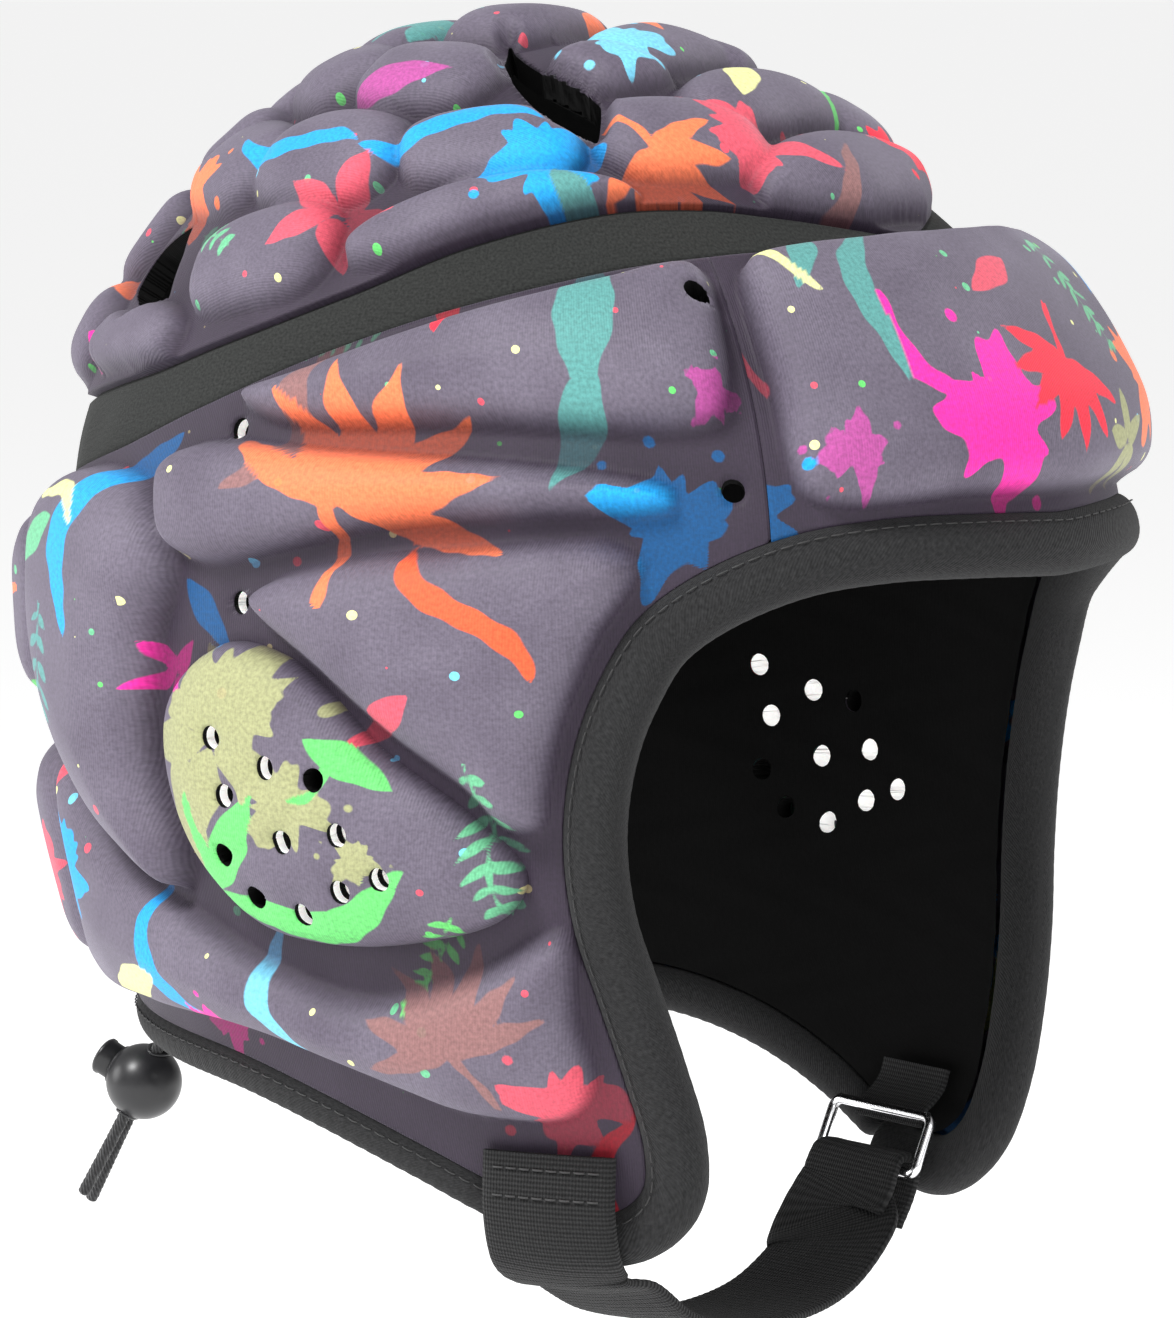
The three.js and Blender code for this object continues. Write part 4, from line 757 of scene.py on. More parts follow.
def splash(x, y, size, k):
    """A thrown blot of dye with arms."""
    r, t = np.hypot(x, y), np.arctan2(y, x)
    arms = 0.16 * np.maximum(np.sin(7 * t + 1.7 * k), 0) ** 3
    arms += 0.2 * np.maximum(np.sin(4 * t + 0.9 * k), 0) ** 5
    edge = size * (0.55 + 0.12 * np.sin(3 * t + k) + 0.1 * np.sin(5 * t + 2.3 * k) + arms)
    drops = [
        np.hypot(x - size * np.cos(k * n) * 1.02, y - size * np.sin(k * n) * 1.02) - size * 0.07
        for n in (1, 2.2, 3.9)
    ]
    return np.minimum.reduce([(r - edge) * 0.8, *drops])


def palm(x, y, size, k):
    """A fan leaf: blades spread from one point, on a stalk."""
    blades = [
        leaf_at(x, y, t, size * 0.5, size * 0.52, size * (0.115 + 0.03 * math.cos(t)))
        for t in np.linspace(-1.5, 1.5, 7)
    ]
    stalk = np.abs(y + 0.12 * size * np.sin(x / size * 3 + k)) - size * 0.045
    return np.minimum.reduce([*blades, np.where((x < 0) & (x > -size * 0.7), stalk, 9)])


def fern(x, y, size, k):
    """A frond: pairs of small leaves on a thin stem."""
    found = [np.where(np.abs(x) < size, np.abs(y) - size * 0.018, 9)]
    for at in np.linspace(-0.85, 0.8, 7):
        reach = size * (0.36 - 0.2 * abs(at + 0.1))
        for t in (-0.95, 0.95):
            found.append(leaf_at(x - at * size, y, t, reach * 0.62, reach * 0.6, size * 0.06))
    return np.minimum.reduce(found)


def ribbon(x, y, size, k):
    """A brushed stroke, thick in the middle, that bends and tapers."""
    t = np.clip(x / size, -1, 1)
    off = y - size * 0.3 * np.sin(2.2 * t + k)
    stroke = (np.abs(off) - size * 0.17 * (1 - t**2) ** 0.7) * 0.85
    return np.where(np.abs(x) > size, np.hypot(np.abs(x) - size, off), stroke)


def petals(x, y, size, k):
    """A loose flower of five petals."""
    return np.minimum.reduce([
        leaf_at(x, y, t, size * 0.5, size * 0.46, size * 0.2) for t in k + np.arange(5) * 2 * np.pi / 5
    ])


DRAWN = {"splash": splash, "palm": palm, "fern": fern, "ribbon": ribbon, "petals": petals,
         "leaf": lambda x, y, size, k: blade(x, y, size, size * 0.33)}
# Each motif: kind, around, level, size in millimetres, turn in degrees, dye
SIDE_PRINT = [
    ("ribbon", 92, 0.77, 19, 50, "rose_brown"), ("palm", 84, 0.9, 25, 250, "orange"),
    ("ribbon", 71, 1.02, 15, 300, "deep_orange"), ("leaf", 58, 0.66, 16, 85, "teal"),
    ("leaf", 60, 0.8, 11, 70, "teal"), ("splash", 51, 0.905, 14, 20, "sky"),
    ("leaf", 76, 0.635, 7, 100, "red"), ("ribbon", 118, 0.95, 21, 70, "sky"),
    ("petals", 99, 1.2, 19, 10, "khaki"), ("ribbon", 89, 1.39, 19, 20, "green"),
    ("leaf", 97, 1.32, 11, 240, "green"), ("fern", 69, 1.3, 14, 100, "mint"),
    ("fern", 76, 1.46, 11, 60, "green"), ("palm", 73, 1.56, 17, 290, "rose_brown"),
    ("splash", 62, 1.64, 13, 40, "coral"), ("ribbon", 57.5, 1.74, 13, 80, "red"),
    ("leaf", 131, 0.98, 9, 30, "mint"), ("fern", 129, 1.16, 15, 80, "teal"),
    ("splash", 134, 1.4, 12, 0, "sky"), ("ribbon", 95, 1.52, 12, 100, "pale_sky"),
    ("ribbon", 112, 1.49, 14, 110, "sky"), ("leaf", 121, 1.53, 10, 15, "straw"),
    ("leaf", 104, 1.05, 8, 130, "sky"), ("splash", 45, 0.75, 6, 60, "plum"),
    ("leaf", 80, 1.16, 8, 40, "coral"), ("petals", 109, 1.13, 8, 50, "magenta"),
    ("ribbon", 126, 0.93, 9, 160, "straw"), ("leaf", 137, 1.25, 12, 70, "coral"),
    ("splash", 108, 1.58, 8, 30, "magenta"), ("fern", 90, 0.68, 9, 15, "mint"),
]


def print_over(flat, motifs, polar):
    """How far each point is from the edge of the print, and the dye it takes."""
    reach = np.full(len(flat), 5.0)
    dye = np.tile(np.array(PRINT_GROUND), (len(flat), 1))
    for kind, around, level, size, turned, name in motifs:
        d = flat - flat_map(np.array([around, level], float), polar)
        near = np.hypot(d[:, 0], d[:, 1]) < size * 1.6 + 3
        x, y = swung(d[near, 0], d[near, 1], math.radians(turned))
        # The drawn edge wavers a little
        waver = 0.5 * np.sin(x * 0.9 + y * 0.4) + 0.35 * np.sin(y * 1.3 - x * 0.3)
        value = DRAWN[kind](x, y, size, (around * 0.37 + level * 5) % 6.28) + waver * 0.35
        old, old_dye = reach[near], dye[near]
        reach[near] = np.where(value < 0, value, np.minimum(old, value))
        old_dye[(value < 0) | (value < np.minimum(old, 1.2))] = PRINT_DYES[name]
        dye[near] = old_dye
    return reach, dye


def mixed(tree, share, first, second, **settings):
    """Two colours mixed by a share, or multiplied where the settings say so."""
    return node_in(
        tree, "ShaderNodeMix", {"Factor": share, 6: first, 7: second}, data_type="RGBA", **settings
    ).outputs[2]


# Printed knit: the ground colour, small specks, the dyes over both and the knit's grain, darkened in the
# grooves with painted shade
printed, tree, shader = new_finish(
    "printed_cloth", Roughness=0.62, Sheen_Weight=0.16, Sheen_Roughness=0.4,
    Sheen_Tint=(0.9, 0.88, 1, 1), Specular_IOR_Level=0.35,
)
ink, dye, foot = (node_in(tree, "ShaderNodeAttribute", attribute_name=n) for n in ("ink", "dye", "painted_groove_shade"))
ground = node_in(tree, "ShaderNodeValToRGB", {"Fac": noise_in(tree, flow_coordinates(tree, 55, 55), 4.0)})
for stop, at, colour in zip(
    ground.color_ramp.elements, (0.3, 0.7), ((0.1, 0.083, 0.118, 1), (0.145, 0.125, 0.168, 1))
):
    stop.position, stop.color = at, colour
specks = node_in(
    tree, "ShaderNodeTexVoronoi", {"Vector": flow_coordinates(tree, 130, 130), "Scale": 1.0},
    voronoi_dimensions="2D",
)
pick = node_in(tree, "ShaderNodeSeparateColor", {"Color": specks.outputs["Color"]}).outputs
dot = math_in(tree, "LESS_THAN", specks.outputs["Distance"], math_in(tree, "MULTIPLY", pick["Red"], 0.12))
dots = math_in(tree, "MULTIPLY", dot, math_in(tree, "GREATER_THAN", pick["Green"], 0.68))
speck_dye = node_in(tree, "ShaderNodeValToRGB", {"Fac": pick["Blue"]})
speck_dye.color_ramp.interpolation = "CONSTANT"
for n, name in enumerate(("straw", "mint", "pale_sky", "green", "coral")):
    stop = speck_dye.color_ramp.elements[n] if n < 2 else speck_dye.color_ramp.elements.new(n / 5)
    stop.position, stop.color = n / 5, (*PRINT_DYES[name], 1)
specked = mixed(tree, dots, ground.outputs[0], speck_dye.outputs[0])
cover = ranged(tree, ink.outputs["Fac"], 0.0, 0.94, 0.14, -0.14)
inked = mixed(tree, cover, specked, dye.outputs["Color"])
heather = noise_in(tree, flow_coordinates(tree, 1500, 1500), 2.0)
knitted = mixed(tree, 1.0, inked, ranged(tree, heather, 0.8, 1.18, 0.3, 0.7), blend_type="MULTIPLY")
# Painted shade: the knit's colour is darkened where the cloth lies low, on the groove floors and at the
# pads' feet
groove_shaded = mixed(tree, 1.0, knitted, (0.25, 0.2, 0.26, 1), blend_type="MULTIPLY")
tree.links.new(mixed(tree, foot.outputs["Fac"], knitted, groove_shaded), shader.inputs["Base Color"])
tree.links.new(ranged(tree, heather, 0.52, 0.74), shader.inputs["Roughness"])
ribs = wave_in(tree, 700, 700, "X", Distortion=2.0, Detail=1.0)
grain_bump(tree, shader, [heather, ribs], 0.22, 0.00022)

# Cut foam: its own off-white, with a faint emission as a painted glow that keeps it bright inside the holes
foam_edge_painted_glow, tree, shader = new_finish(
    "foam_edge_painted_glow", Base_Color=(0.9, 0.9, 0.89, 1), Roughness=0.85, Subsurface_Weight=0.1,
    Emission_Color=(1, 1, 1, 1), Emission_Strength=0.3,
)
place = node_in(tree, "ShaderNodeTexCoord").outputs["Object"]
cells = node_in(tree, "ShaderNodeTexVoronoi", {"Vector": place, "Scale": 2500.0}).outputs["Distance"]
tinted(tree, shader, cells, (0.72, 0.72, 0.7), (0.93, 0.93, 0.92))
grain_bump(tree, shader, [cells], 0.3, 0.0002)


def nearest(here, there, block=40):
    """How far each point is from the nearest point of a line."""
    least = np.full(len(here), 1e9)
    for start in range(0, len(there), block):
        some = there[None, start:start + block]
        least = np.minimum(least, np.linalg.norm(here[:, None] - some, axis=-1).min(axis=1))
    return least


FAR_OUTSIDE = -26.0


def edge_distance(chart, line):
    """Millimetres from each point to a closed line, positive inside it."""
    low, high = line.min(0) - (6, 0.06), line.max(0) + (6, 0.06)
    near = np.where(np.all((chart > low) & (chart < high), axis=1))[0]
    out = np.full(len(chart), FAR_OUTSIDE)
    least = nearest(shell(chart[near, 0], chart[near, 1]), shell(line[:, 0], line[:, 1]))
    out[near] = np.where(inside(chart[near], line), least, -least)
    return out


def pad_height(distance, high, ease, crown, foot=0.5):
    """A moulded pad: a crisp foot, a rounded shoulder and a slightly crowned top."""
    t = np.clip((distance + foot) / (ease + foot), 0, 1)
    over = np.clip((distance - ease * 0.5) / 13, 0, 1)
    return high * (1 - (1 - t) ** 2.6) ** 0.72 + crown * (1 - (1 - over) ** 2)


def even(line, apart=0.35):
    """The closed outline with even steps on the cap, in millimetres."""
    full = np.vstack([line, line[:1]])
    far = steps_along(shell(full[:, 0], full[:, 1]))
    at = np.linspace(0, far[-1], max(int(far[-1] / apart), 40), endpoint=False)
    return np.stack([np.interp(at, far, full[:, k]) for k in (0, 1)], axis=-1)


# Each pad: its outline of around, level, then height, shoulder and crown in millimetres
SIDE_PADS = {
    "temple": ([
        (100.5, 0.768), (96, 0.792), (72, 0.785), (49, 0.784), (44.8, 0.765), (42.6, 0.66), (43.4, 0.568),
        (56, 0.588), (75, 0.648), (91, 0.72),
    ], 6.0, 3.8, 3.0),
    "taper": ([
        (110, 0.86), (110.5, 0.91), (108.5, 0.965), (102, 0.98), (93, 0.955), (84, 0.926), (66, 0.899),
        (52, 0.887), (50.5, 0.876), (52, 0.864), (66, 0.843), (88, 0.835), (104, 0.834),
    ], 6.4, 4.6, 2.4),
    "cheek": ([
        (96.5, 1.02), (84.5, 0.968), (72, 0.95), (58, 0.935), (55, 0.958), (58.8, 1.045), (62, 1.145),
        (63.6, 1.235), (64.2, 1.28), (67, 1.285), (72, 1.235), (79, 1.18), (87.5, 1.105),
    ], 6.0, 4.0, 3.0),
    "rear": ([
        (114, 0.9), (109, 0.985), (111.5, 1.09), (112.5, 1.24), (109, 1.355), (110, 1.4), (119, 1.36),
        (129, 1.28), (137, 1.17), (139.5, 1.02), (137, 0.93), (126, 0.885),
    ], 7.6, 5.0, 3.4),
    "roll": ([
        (61.8, 1.42), (71.5, 1.48), (84.5, 1.522), (97, 1.492), (110, 1.435), (121, 1.395), (131, 1.315),
        (139, 1.27), (139.7, 1.42), (138, 1.55), (121, 1.565), (104, 1.572), (92, 1.595), (81, 1.63),
        (73, 1.655), (62.5, 1.65), (59.5, 1.61), (61, 1.52),
    ], 6.0, 4.6, 2.6),
}
EAR_PAD = [
    (100, 1.08), (93, 1.09), (88, 1.125), (81, 1.2), (71.5, 1.275), (65.8, 1.345), (68, 1.4), (78, 1.44),
    (88, 1.452), (97, 1.435), (105, 1.36), (109, 1.245), (107.5, 1.145),
]
EAR_LINE = even(rounded_line(EAR_PAD))
# Millimetres above the floor of the grooves: where a panel's free edge and a seam end
WEB_FOOT, SEAM_FOOT = -2.6, -0.5
HOLE_DIP, HOLE_SPREAD, FOAM_FLOOR = 0.75, 3.2, 4.7
# How far down a hole each ring of its wall ends, and its finish: cloth, cut foam, or black lining knit
# standing for painted shade
WALL_DROPS, FOAM_AND_SHADE_RINGS, SHADE_RINGS = [0.25, 1.2, 3.0, 4.6], (0, 2, 1, 2, 1), (0, 2, 2, 2, 2)


def gentle(chart):
    """Soft unevenness of moulded foam."""
    a, l = np.radians(chart[:, 0]) * 80, chart[:, 1] * 140
    return (
        0.16 * np.sin(a / 7.3 + 1.3 * np.sin(l / 11.0)) * np.cos(l / 8.1 + 0.7)
        + 0.1 * np.sin(a / 3.7 - l / 5.3) * np.sin(l / 13.7 + a / 17.0)
    )


def uneven(chart, total):
    return total + gentle(chart) * np.clip(total / 3, 0.15, 1)


def pads_over(chart, pads):
    """The height of the highest pad at each point."""
    total = np.zeros(len(chart))
    for outline, high, ease, crown in pads:
        d = edge_distance(chart, even(rounded_line(outline)))
        total = np.maximum(total, pad_height(d, high, ease, crown))
    return total


def padded_panel(name, grid, holes, polar, height_of, motifs, foot=WEB_FOOT, seamed=False, gone=None):
    """A panel: its grid is opened, raised to its pads, turned under at its edges and printed.
    Its sides are sewn to other panels if it is seamed, and gone says what is cut out of it."""
    # Two more rows and columns all round carry the turned edge
    wide = np.pad(grid, ((2, 2), (2, 2), (0, 0)), mode="edge")
    rows, columns = wide.shape[:2]
    depth = np.zeros((rows, columns))
    for ring, value in ((1, 1), (0, 2)):
        depth[[ring, -1 - ring], :] = np.maximum(depth[[ring, -1 - ring], :], value)
        depth[:, [ring, -1 - ring]] = np.maximum(depth[:, [ring, -1 - ring]], value)
    depth = depth.ravel()
    chart, faces, rims = open_holes(wide, holes, polar)
    # The cover is drawn smooth over the foam
    field = np.pad(height_of(chart).reshape(rows, columns), 1, mode="edge")
    height = sum(field[i:i + rows, j:j + columns] for i in range(3) for j in range(3)).ravel() / 9
    # The cloth dips where it is drawn into an air hole
    for hole in (h for h in holes if len(h) == HOLE_POINTS):
        centre = hole.mean(0)
        near = np.where(np.all(np.abs(chart - centre) < (9, 0.08), axis=1))[0]
        far = np.linalg.norm(shell(chart[near, 0], chart[near, 1]) - shell(*centre), axis=-1)
        height[near] -= HOLE_DIP * np.exp(-((far / HOLE_SPREAD) ** 2))
    column = np.tile(np.arange(columns), rows)
    at_seam = seamed & ((column < 2) | (column > columns - 3))
    height = np.where(depth == 1, height - np.where(at_seam, 0.15, 0.7), height)
    height = np.where(depth == 2, np.where(at_seam, SEAM_FOOT, foot), height)
    # Painted shade: a share for darkening the colour, full on the groove floors and fading out up the pads'
    # sides
    painted_groove_shade = (1 - np.clip((height - 0.3) / 4.5, 0, 1)) ** 1.3
    points, below = skin(chart[:, 0], chart[:, 1], height), outward(chart[:, 0], chart[:, 1])
    flat = flat_map(chart, polar)
    ink, dye = print_over(flat, motifs, polar)
    if gone is not None:
        faces = faces[~gone(chart)[faces].all(axis=1)]
    faces = faces.tolist()
    shades = [0] * len(faces)
    source = np.arange(len(points))
    for edge in rims:
        deep = FOAM_FLOOR + float(height[np.unique(edge)].mean())
        points, rings, ids = wall_down(points, faces, edge, below, [*WALL_DROPS, deep])
        below = np.vstack([below, *[below[ids]] * 5])
        source = np.concatenate([source, *[source[ids]] * 5])
        # Vents and the front holes are black all the way down as painted shade; the others show bands of
        # cut foam between black bands of painted shade
        shade_only = len(ids) > 60 or abs(chart[ids[0], 0]) < 60
        shades += [(SHADE_RINGS if shade_only else FOAM_AND_SHADE_RINGS)[k] for k in rings]
    return mesh_piece(
        name, points / 1000, faces, [printed, foam_edge_painted_glow, lining_knit], flat[source] / 1000, shades,
        {"ink": ink[source], "dye": dye[source], "painted_groove_shade": painted_groove_shade[source]},
    )


def side_height(chart):
    total = pads_over(chart, SIDE_PADS.values())
    # Pressed welt round the ear pad's seat
    d = edge_distance(chart, EAR_LINE)
    welt = np.minimum(total, 0.0) - 0.25 * np.clip(d + 1.2, 0, 1)
    return uneven(chart, np.where(d > -1.2, welt, total))


def ear_seat(chart):
    """What the ear pad hides of the side panel, on either side."""
    return edge_distance(chart * (np.sign(chart[:, :1].mean()), 1), EAR_LINE) > 6.5


STEP = 0.62
flip = lambda height: (lambda chart: height(chart * (-1, 1)))
left_print = [
    (kind, -((around - 55) * 0.93 + 59), level, size, 180 - turned + 35, later[5])
    for (kind, around, level, size, turned, _), later in zip(SIDE_PRINT, SIDE_PRINT[7:] + SIDE_PRINT[:7])
]
for name, sign in (("right", 1), ("left", -1)):
    grid = side_rows(0.03, STEP)
    panel = padded_panel(
        "side_cloth_" + name, grid if sign > 0 else mirror(grid),
        [hole_line(*h) * (sign, 1) for h in SIDE_HOLES], False,
        side_height if sign > 0 else flip(side_height), SIDE_PRINT if sign > 0 else left_print,
        seamed=True, gone=ear_seat,
    )
    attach(panel, "cap")
    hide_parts("side_panel_" + name)

# Ear pads
# A separate oval pad of thinner foam over each ear, pierced by air holes whose cut
# foam shows white with a painted glow between black rings of painted shade, and sewn into a seat in the
# side panel.
EAR_PRINT = SIDE_PRINT + [
    ("splash", 97, 1.15, 16, 40, "khaki"), ("leaf", 103, 1.3, 13, 95, "khaki"),
    ("splash", 90, 1.27, 11, 70, "khaki"), ("splash", 82, 1.33, 6, 10, "khaki"),
    ("ribbon", 87, 1.385, 17, 12, "green"), ("ribbon", 103, 1.34, 10, 75, "green"),
    ("leaf", 83, 1.215, 8, 150, "green"), ("ribbon", 86, 1.235, 6, 30, "green"),
]


def ear_height(chart):
    d = edge_distance(chart, EAR_LINE)
    top = pad_height(d, 5.0, 4.0, 3.0, foot=0.0)
    here = shell(chart[:, 0], chart[:, 1])
    # Pull lines from hole to hole
    for hole, other in zip(EAR_HOLES, EAR_HOLES[1:]):
        p, q = shell(*hole), shell(*other)
        t = np.clip(((here - p) @ (q - p)) / np.dot(q - p, q - p), 0, 1)
        far = np.linalg.norm(here - (p + t[:, None] * (q - p)), axis=1)
        top -= 0.32 * np.exp(-((far / 1.6) ** 2)) * (d > 3)
    return top + gentle(chart) + 0.4


ear_middle = EAR_LINE.mean(0)
ear_x, ear_y = ((EAR_LINE - ear_middle) * MAP_SCALE).T
bearing = np.degrees(np.arctan2(ear_x, ear_y))
order = np.argsort(bearing)
disc = disc_grid(
    lambda a: np.interp((a + 180) % 360 - 180, bearing[order], np.hypot(ear_x, ear_y)[order], period=360),
    int(96 / STEP),
)
t = np.radians(disc[..., 0])
ear_grid = ear_middle + np.stack([np.sin(t), np.cos(t)], axis=-1) * disc[..., 1:] / MAP_SCALE
for name, sign in (("right", 1), ("left", -1)):
    pad = padded_panel(
        "ear_cloth_" + name, ear_grid if sign > 0 else mirror(ear_grid),
        [hole_line(*h) * (sign, 1) for h in EAR_HOLES], False,
        ear_height if sign > 0 else flip(ear_height), EAR_PRINT if sign > 0 else left_print, foot=-0.6,
    )
    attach(pad, "cap")
    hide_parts("ear_pad_" + name)

# Front panel
# The same printed cloth and foam over the forehead, moulded as one broad pad with a
# deep groove at each side.
FOREHEAD = [
    (-37.5, 0.59), (-36, 0.566), (-18, 0.544), (0, 0.539), (18, 0.544), (36, 0.566), (37.5, 0.59),
    (37.8, 0.75), (36.5, 0.868), (33, 0.882), (16, 0.874), (0, 0.876), (-16, 0.874), (-33, 0.882),
    (-36.5, 0.868), (-37.8, 0.75),
]
FRONT_PRINT = [
    ("splash", 12, 0.8, 17, 10, "magenta"), ("ribbon", 20, 0.72, 12, 120, "magenta"),
    ("splash", 31, 0.83, 8, 30, "plum"), ("ribbon", 22, 0.64, 16, 70, "teal"),
    ("leaf", 30, 0.585, 8, 60, "teal"), ("ribbon", 33, 0.6, 7, 150, "straw"),
    ("palm", -1, 0.74, 15, 60, "red"), ("leaf", 4, 0.63, 8, 20, "coral"),
    ("fern", -15, 0.66, 12, 100, "mint"), ("splash", -24, 0.78, 14, 50, "orange"),
    ("leaf", -30, 0.62, 11, 40, "sky"), ("petals", -12, 0.84, 9, 0, "khaki"),
    ("ribbon", 40, 0.7, 7, 90, "coral"), ("splash", 43, 0.9, 13, 20, "sky"),
]


def front_height(chart):
    # The shoulder is tighter along the pad's upper edge
    ease = 2.4 + 1.8 * np.clip((chart[:, 1] - 0.57) / 0.07, 0, 1)
    return uneven(chart, pads_over(chart, [(FOREHEAD, 6.8, ease, 3.2)]))


panel = padded_panel(
    "front_cloth", front_grid(0.03, int(118 / STEP), int(56 / STEP)), [], False, front_height,
    FRONT_PRINT, seamed=True,
)
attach(panel, "cap")
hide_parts("front_panel")

# Back panel
# Printed cloth and foam over the nape, with two plain pads one above the other.
NAPE = [
    [
        (145, 0.965), (162, 0.965), (180, 0.967), (198, 0.965), (215, 0.965), (216, 1.07), (214, 1.19),
        (198, 1.215), (180, 1.22), (162, 1.215), (146, 1.19), (144, 1.07),
    ],
    [
        (145, 1.27), (162, 1.26), (180, 1.262), (198, 1.26), (215, 1.27), (216, 1.4), (214, 1.53),
        (198, 1.55), (180, 1.55), (162, 1.55), (146, 1.53), (144, 1.4),
    ],
]
BACK_PRINT = [
    ("palm", 158, 1.08, 21, 20, "orange"), ("splash", 186, 1.05, 16, 30, "sky"),
    ("fern", 205, 1.12, 15, 110, "mint"), ("ribbon", 170, 1.3, 19, 40, "teal"),
    ("splash", 152, 1.42, 13, 80, "coral"), ("petals", 197, 1.4, 17, 0, "magenta"),
    ("leaf", 180, 1.46, 12, 70, "khaki"), ("ribbon", 209, 1.3, 12, 100, "straw"),
    ("leaf", 148, 1.2, 9, 10, "green"), ("splash", 213, 1.5, 11, 60, "red"),
    ("leaf", 174, 1.16, 8, 150, "pale_sky"), ("fern", 163, 1.5, 11, 30, "green"),
]


def back_height(chart):
    return uneven(chart, pads_over(chart, [(outline, 7.8, 5.0, 3.2) for outline in NAPE]))


panel = padded_panel(
    "back_cloth", back_grid(0.03, int(110 / STEP), int(98 / STEP)), [], False, back_height,
    BACK_PRINT, seamed=True,
)
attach(panel, "cap")
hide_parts("back_panel")

# Crown
# A quilt of separate foam cells under one printed cloth, pressed down between them,
# with two cut vents on each side.
# Each cell: around, level, width and depth in millimetres, turn, and whether it is paired
CELLS = [
    (0, 0.424, 44, 22, 0, 0), (0, 0.288, 34, 19.5, 0, 0), (0, 0.156, 29, 19.5, 0, 0),
    (180, 0.015, 29, 20, 0, 0), (180, 0.172, 31, 21, 0, 0), (180, 0.32, 33, 21.5, 0, 0),
    (180, 0.466, 35, 21.5, 0, 0), (180, 0.61, 36, 21.5, 0, 0), (180, 0.737, 36, 17, 0, 0),
    (35, 0.352, 29, 22, 0, 1), (38, 0.205, 17, 15, 20, 1), (73, 0.37, 34, 17, 8, 1),
    (98, 0.228, 30, 18, 0, 1), (106, 0.4, 33, 21, 4, 1), (72, 0.476, 56, 10.5, 15, 1),
    (107, 0.567, 33, 19, 15, 1), (132, 0.43, 28, 21, 0, 1), (140, 0.25, 25, 20, 0, 1),
    (156, 0.41, 17, 20, 0, 1), (160, 0.575, 15, 22, 0, 1), (128, 0.7, 33, 10, 8, 1),
    (154, 0.716, 26, 18, 3, 1),
]
CROWN_PRINT = [
    ("splash", 62, 0.42, 15, 20, "sky"), ("ribbon", 80, 0.36, 17, 100, "sky"),
    ("leaf", 57, 0.48, 10, 60, "teal"), ("palm", 44, 0.4, 16, 80, "orange"),
    ("splash", 22, 0.38, 14, 60, "coral"), ("ribbon", 14, 0.46, 13, 10, "rose_brown"),
    ("splash", 30, 0.18, 12, 0, "pale_sky"), ("leaf", 8, 0.28, 9, 30, "straw"),
    ("petals", 96, 0.5, 15, 0, "coral"), ("fern", 118, 0.55, 14, 50, "mint"),
    ("ribbon", 112, 0.4, 16, 60, "sky"), ("leaf", 100, 0.27, 11, 100, "plum"),
    ("splash", 134, 0.5, 12, 0, "orange"), ("ribbon", 150, 0.66, 13, 60, "orange"),
    ("leaf", 140, 0.74, 10, 20, "magenta"), ("palm", 180, 0.12, 17, 0, "teal"),
    ("splash", 176, 0.36, 15, 0, "magenta"), ("fern", 186, 0.55, 15, 90, "green"),
    ("petals", 172, 0.72, 13, 20, "khaki"), ("leaf", -20, 0.1, 12, 60, "orange"),
    ("ribbon", -30, 0.3, 15, 70, "green"), ("splash", -18, 0.43, 12, 0, "red"),
    ("palm", -60, 0.35, 18, 20, "magenta"), ("splash", -84, 0.45, 14, 0, "teal"),
    ("fern", -100, 0.3, 14, 70, "straw"), ("ribbon", -120, 0.52, 17, 40, "orange"),
    ("leaf", -75, 0.2, 9, 10, "sky"), ("splash", -140, 0.36, 12, 0, "sky"),
    ("petals", -130, 0.66, 13, 0, "coral"), ("ribbon", -160, 0.6, 13, 100, "straw"),
]


def cell_line(around, level, wide, deep, turned):
    """The outline of a cell: a rounded oblong laid on the crown."""
    per_degree, per_level = scale_at(around, level)
    a0 = math.radians(around)
    t = np.linspace(0, 2 * np.pi, 220, endpoint=False)
    bend = lambda v: np.sign(v) * np.abs(v) ** 0.72
    across, down = swung(bend(np.cos(t)) * wide / 2, bend(np.sin(t)) * deep / 2, -math.radians(turned))
    across *= max(level, 0.05) * np.pi / 180 / per_degree
    down /= per_level
    px = (level + down) * np.sin(a0) + across * np.cos(a0)
    py = (level + down) * np.cos(a0) - across * np.sin(a0)
    around = np.degrees(np.arctan2(px, py))
    return np.stack([around, np.minimum(np.hypot(px, py), band_edge(1, around) - 0.006)], axis=-1)


def crown_height(chart):
    flat = flat_map(chart, True)
    here = shell(chart[:, 0], chart[:, 1])
    total = np.zeros(len(chart))
    around_it = lambda plan, room: np.where(
        np.all((flat > plan.min(0) - room) & (flat < plan.max(0) + room), axis=1)
    )[0]
    for around, level, wide, deep, turned, paired in CELLS:
        half = min(wide, deep) * 0.5
        for side in (1, -1) if paired else (1,):
            line = cell_line(around, level, wide + 2.4, deep + 2.4, turned) * (side, 1)
            plan = flat_map(line, True)
            near = around_it(plan, 3)
            least = nearest(here[near], shell(line[:, 0], line[:, 1]))
            t = np.clip((np.where(inside(flat[near], plan), least, -least) + 0.4) / half, 0, 1)
            # A full, pillowed cell
            bulge = min(6.2, 3.0 + half * 0.38) * (1 - (1 - t) ** 2.2) ** 0.62
            total[near] = np.maximum(total[near], bulge)
    for vent in VENTS:
        plan = flat_map(vent, True)
        near = around_it(plan, 4)
        rise_by = 7 * np.clip((nearest(flat[near], plan[::3]) - 1.2) / 4, 0, 1) ** 0.7
        total[near] = np.minimum(total[near], 0.6 + rise_by)
    # Down to the valley of the stretch band, more steeply over the forehead
    away = (band_edge(1, chart[:, 0]) - chart[:, 1]) * SEAM_SCALE
    slope = np.where(np.abs(chart[:, 0]) < 60, 2.0, 3.5)
    total = np.minimum(total, 0.2 + 8 * np.clip(away / slope, 0, 1) ** 0.6)
    x, y = flat[:, 0], flat[:, 1]
    return total + 0.22 * np.sin(x / 4.1 + np.sin(y / 6.3)) * np.cos(y / 5.2) * np.clip(total / 4, 0, 1)


crown = padded_panel(
    "crown_cloth", crown_grid(0.25, int(182 / STEP)), VENTS, True, crown_height, CROWN_PRINT
)
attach(crown, "cap")
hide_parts("crown_panel")

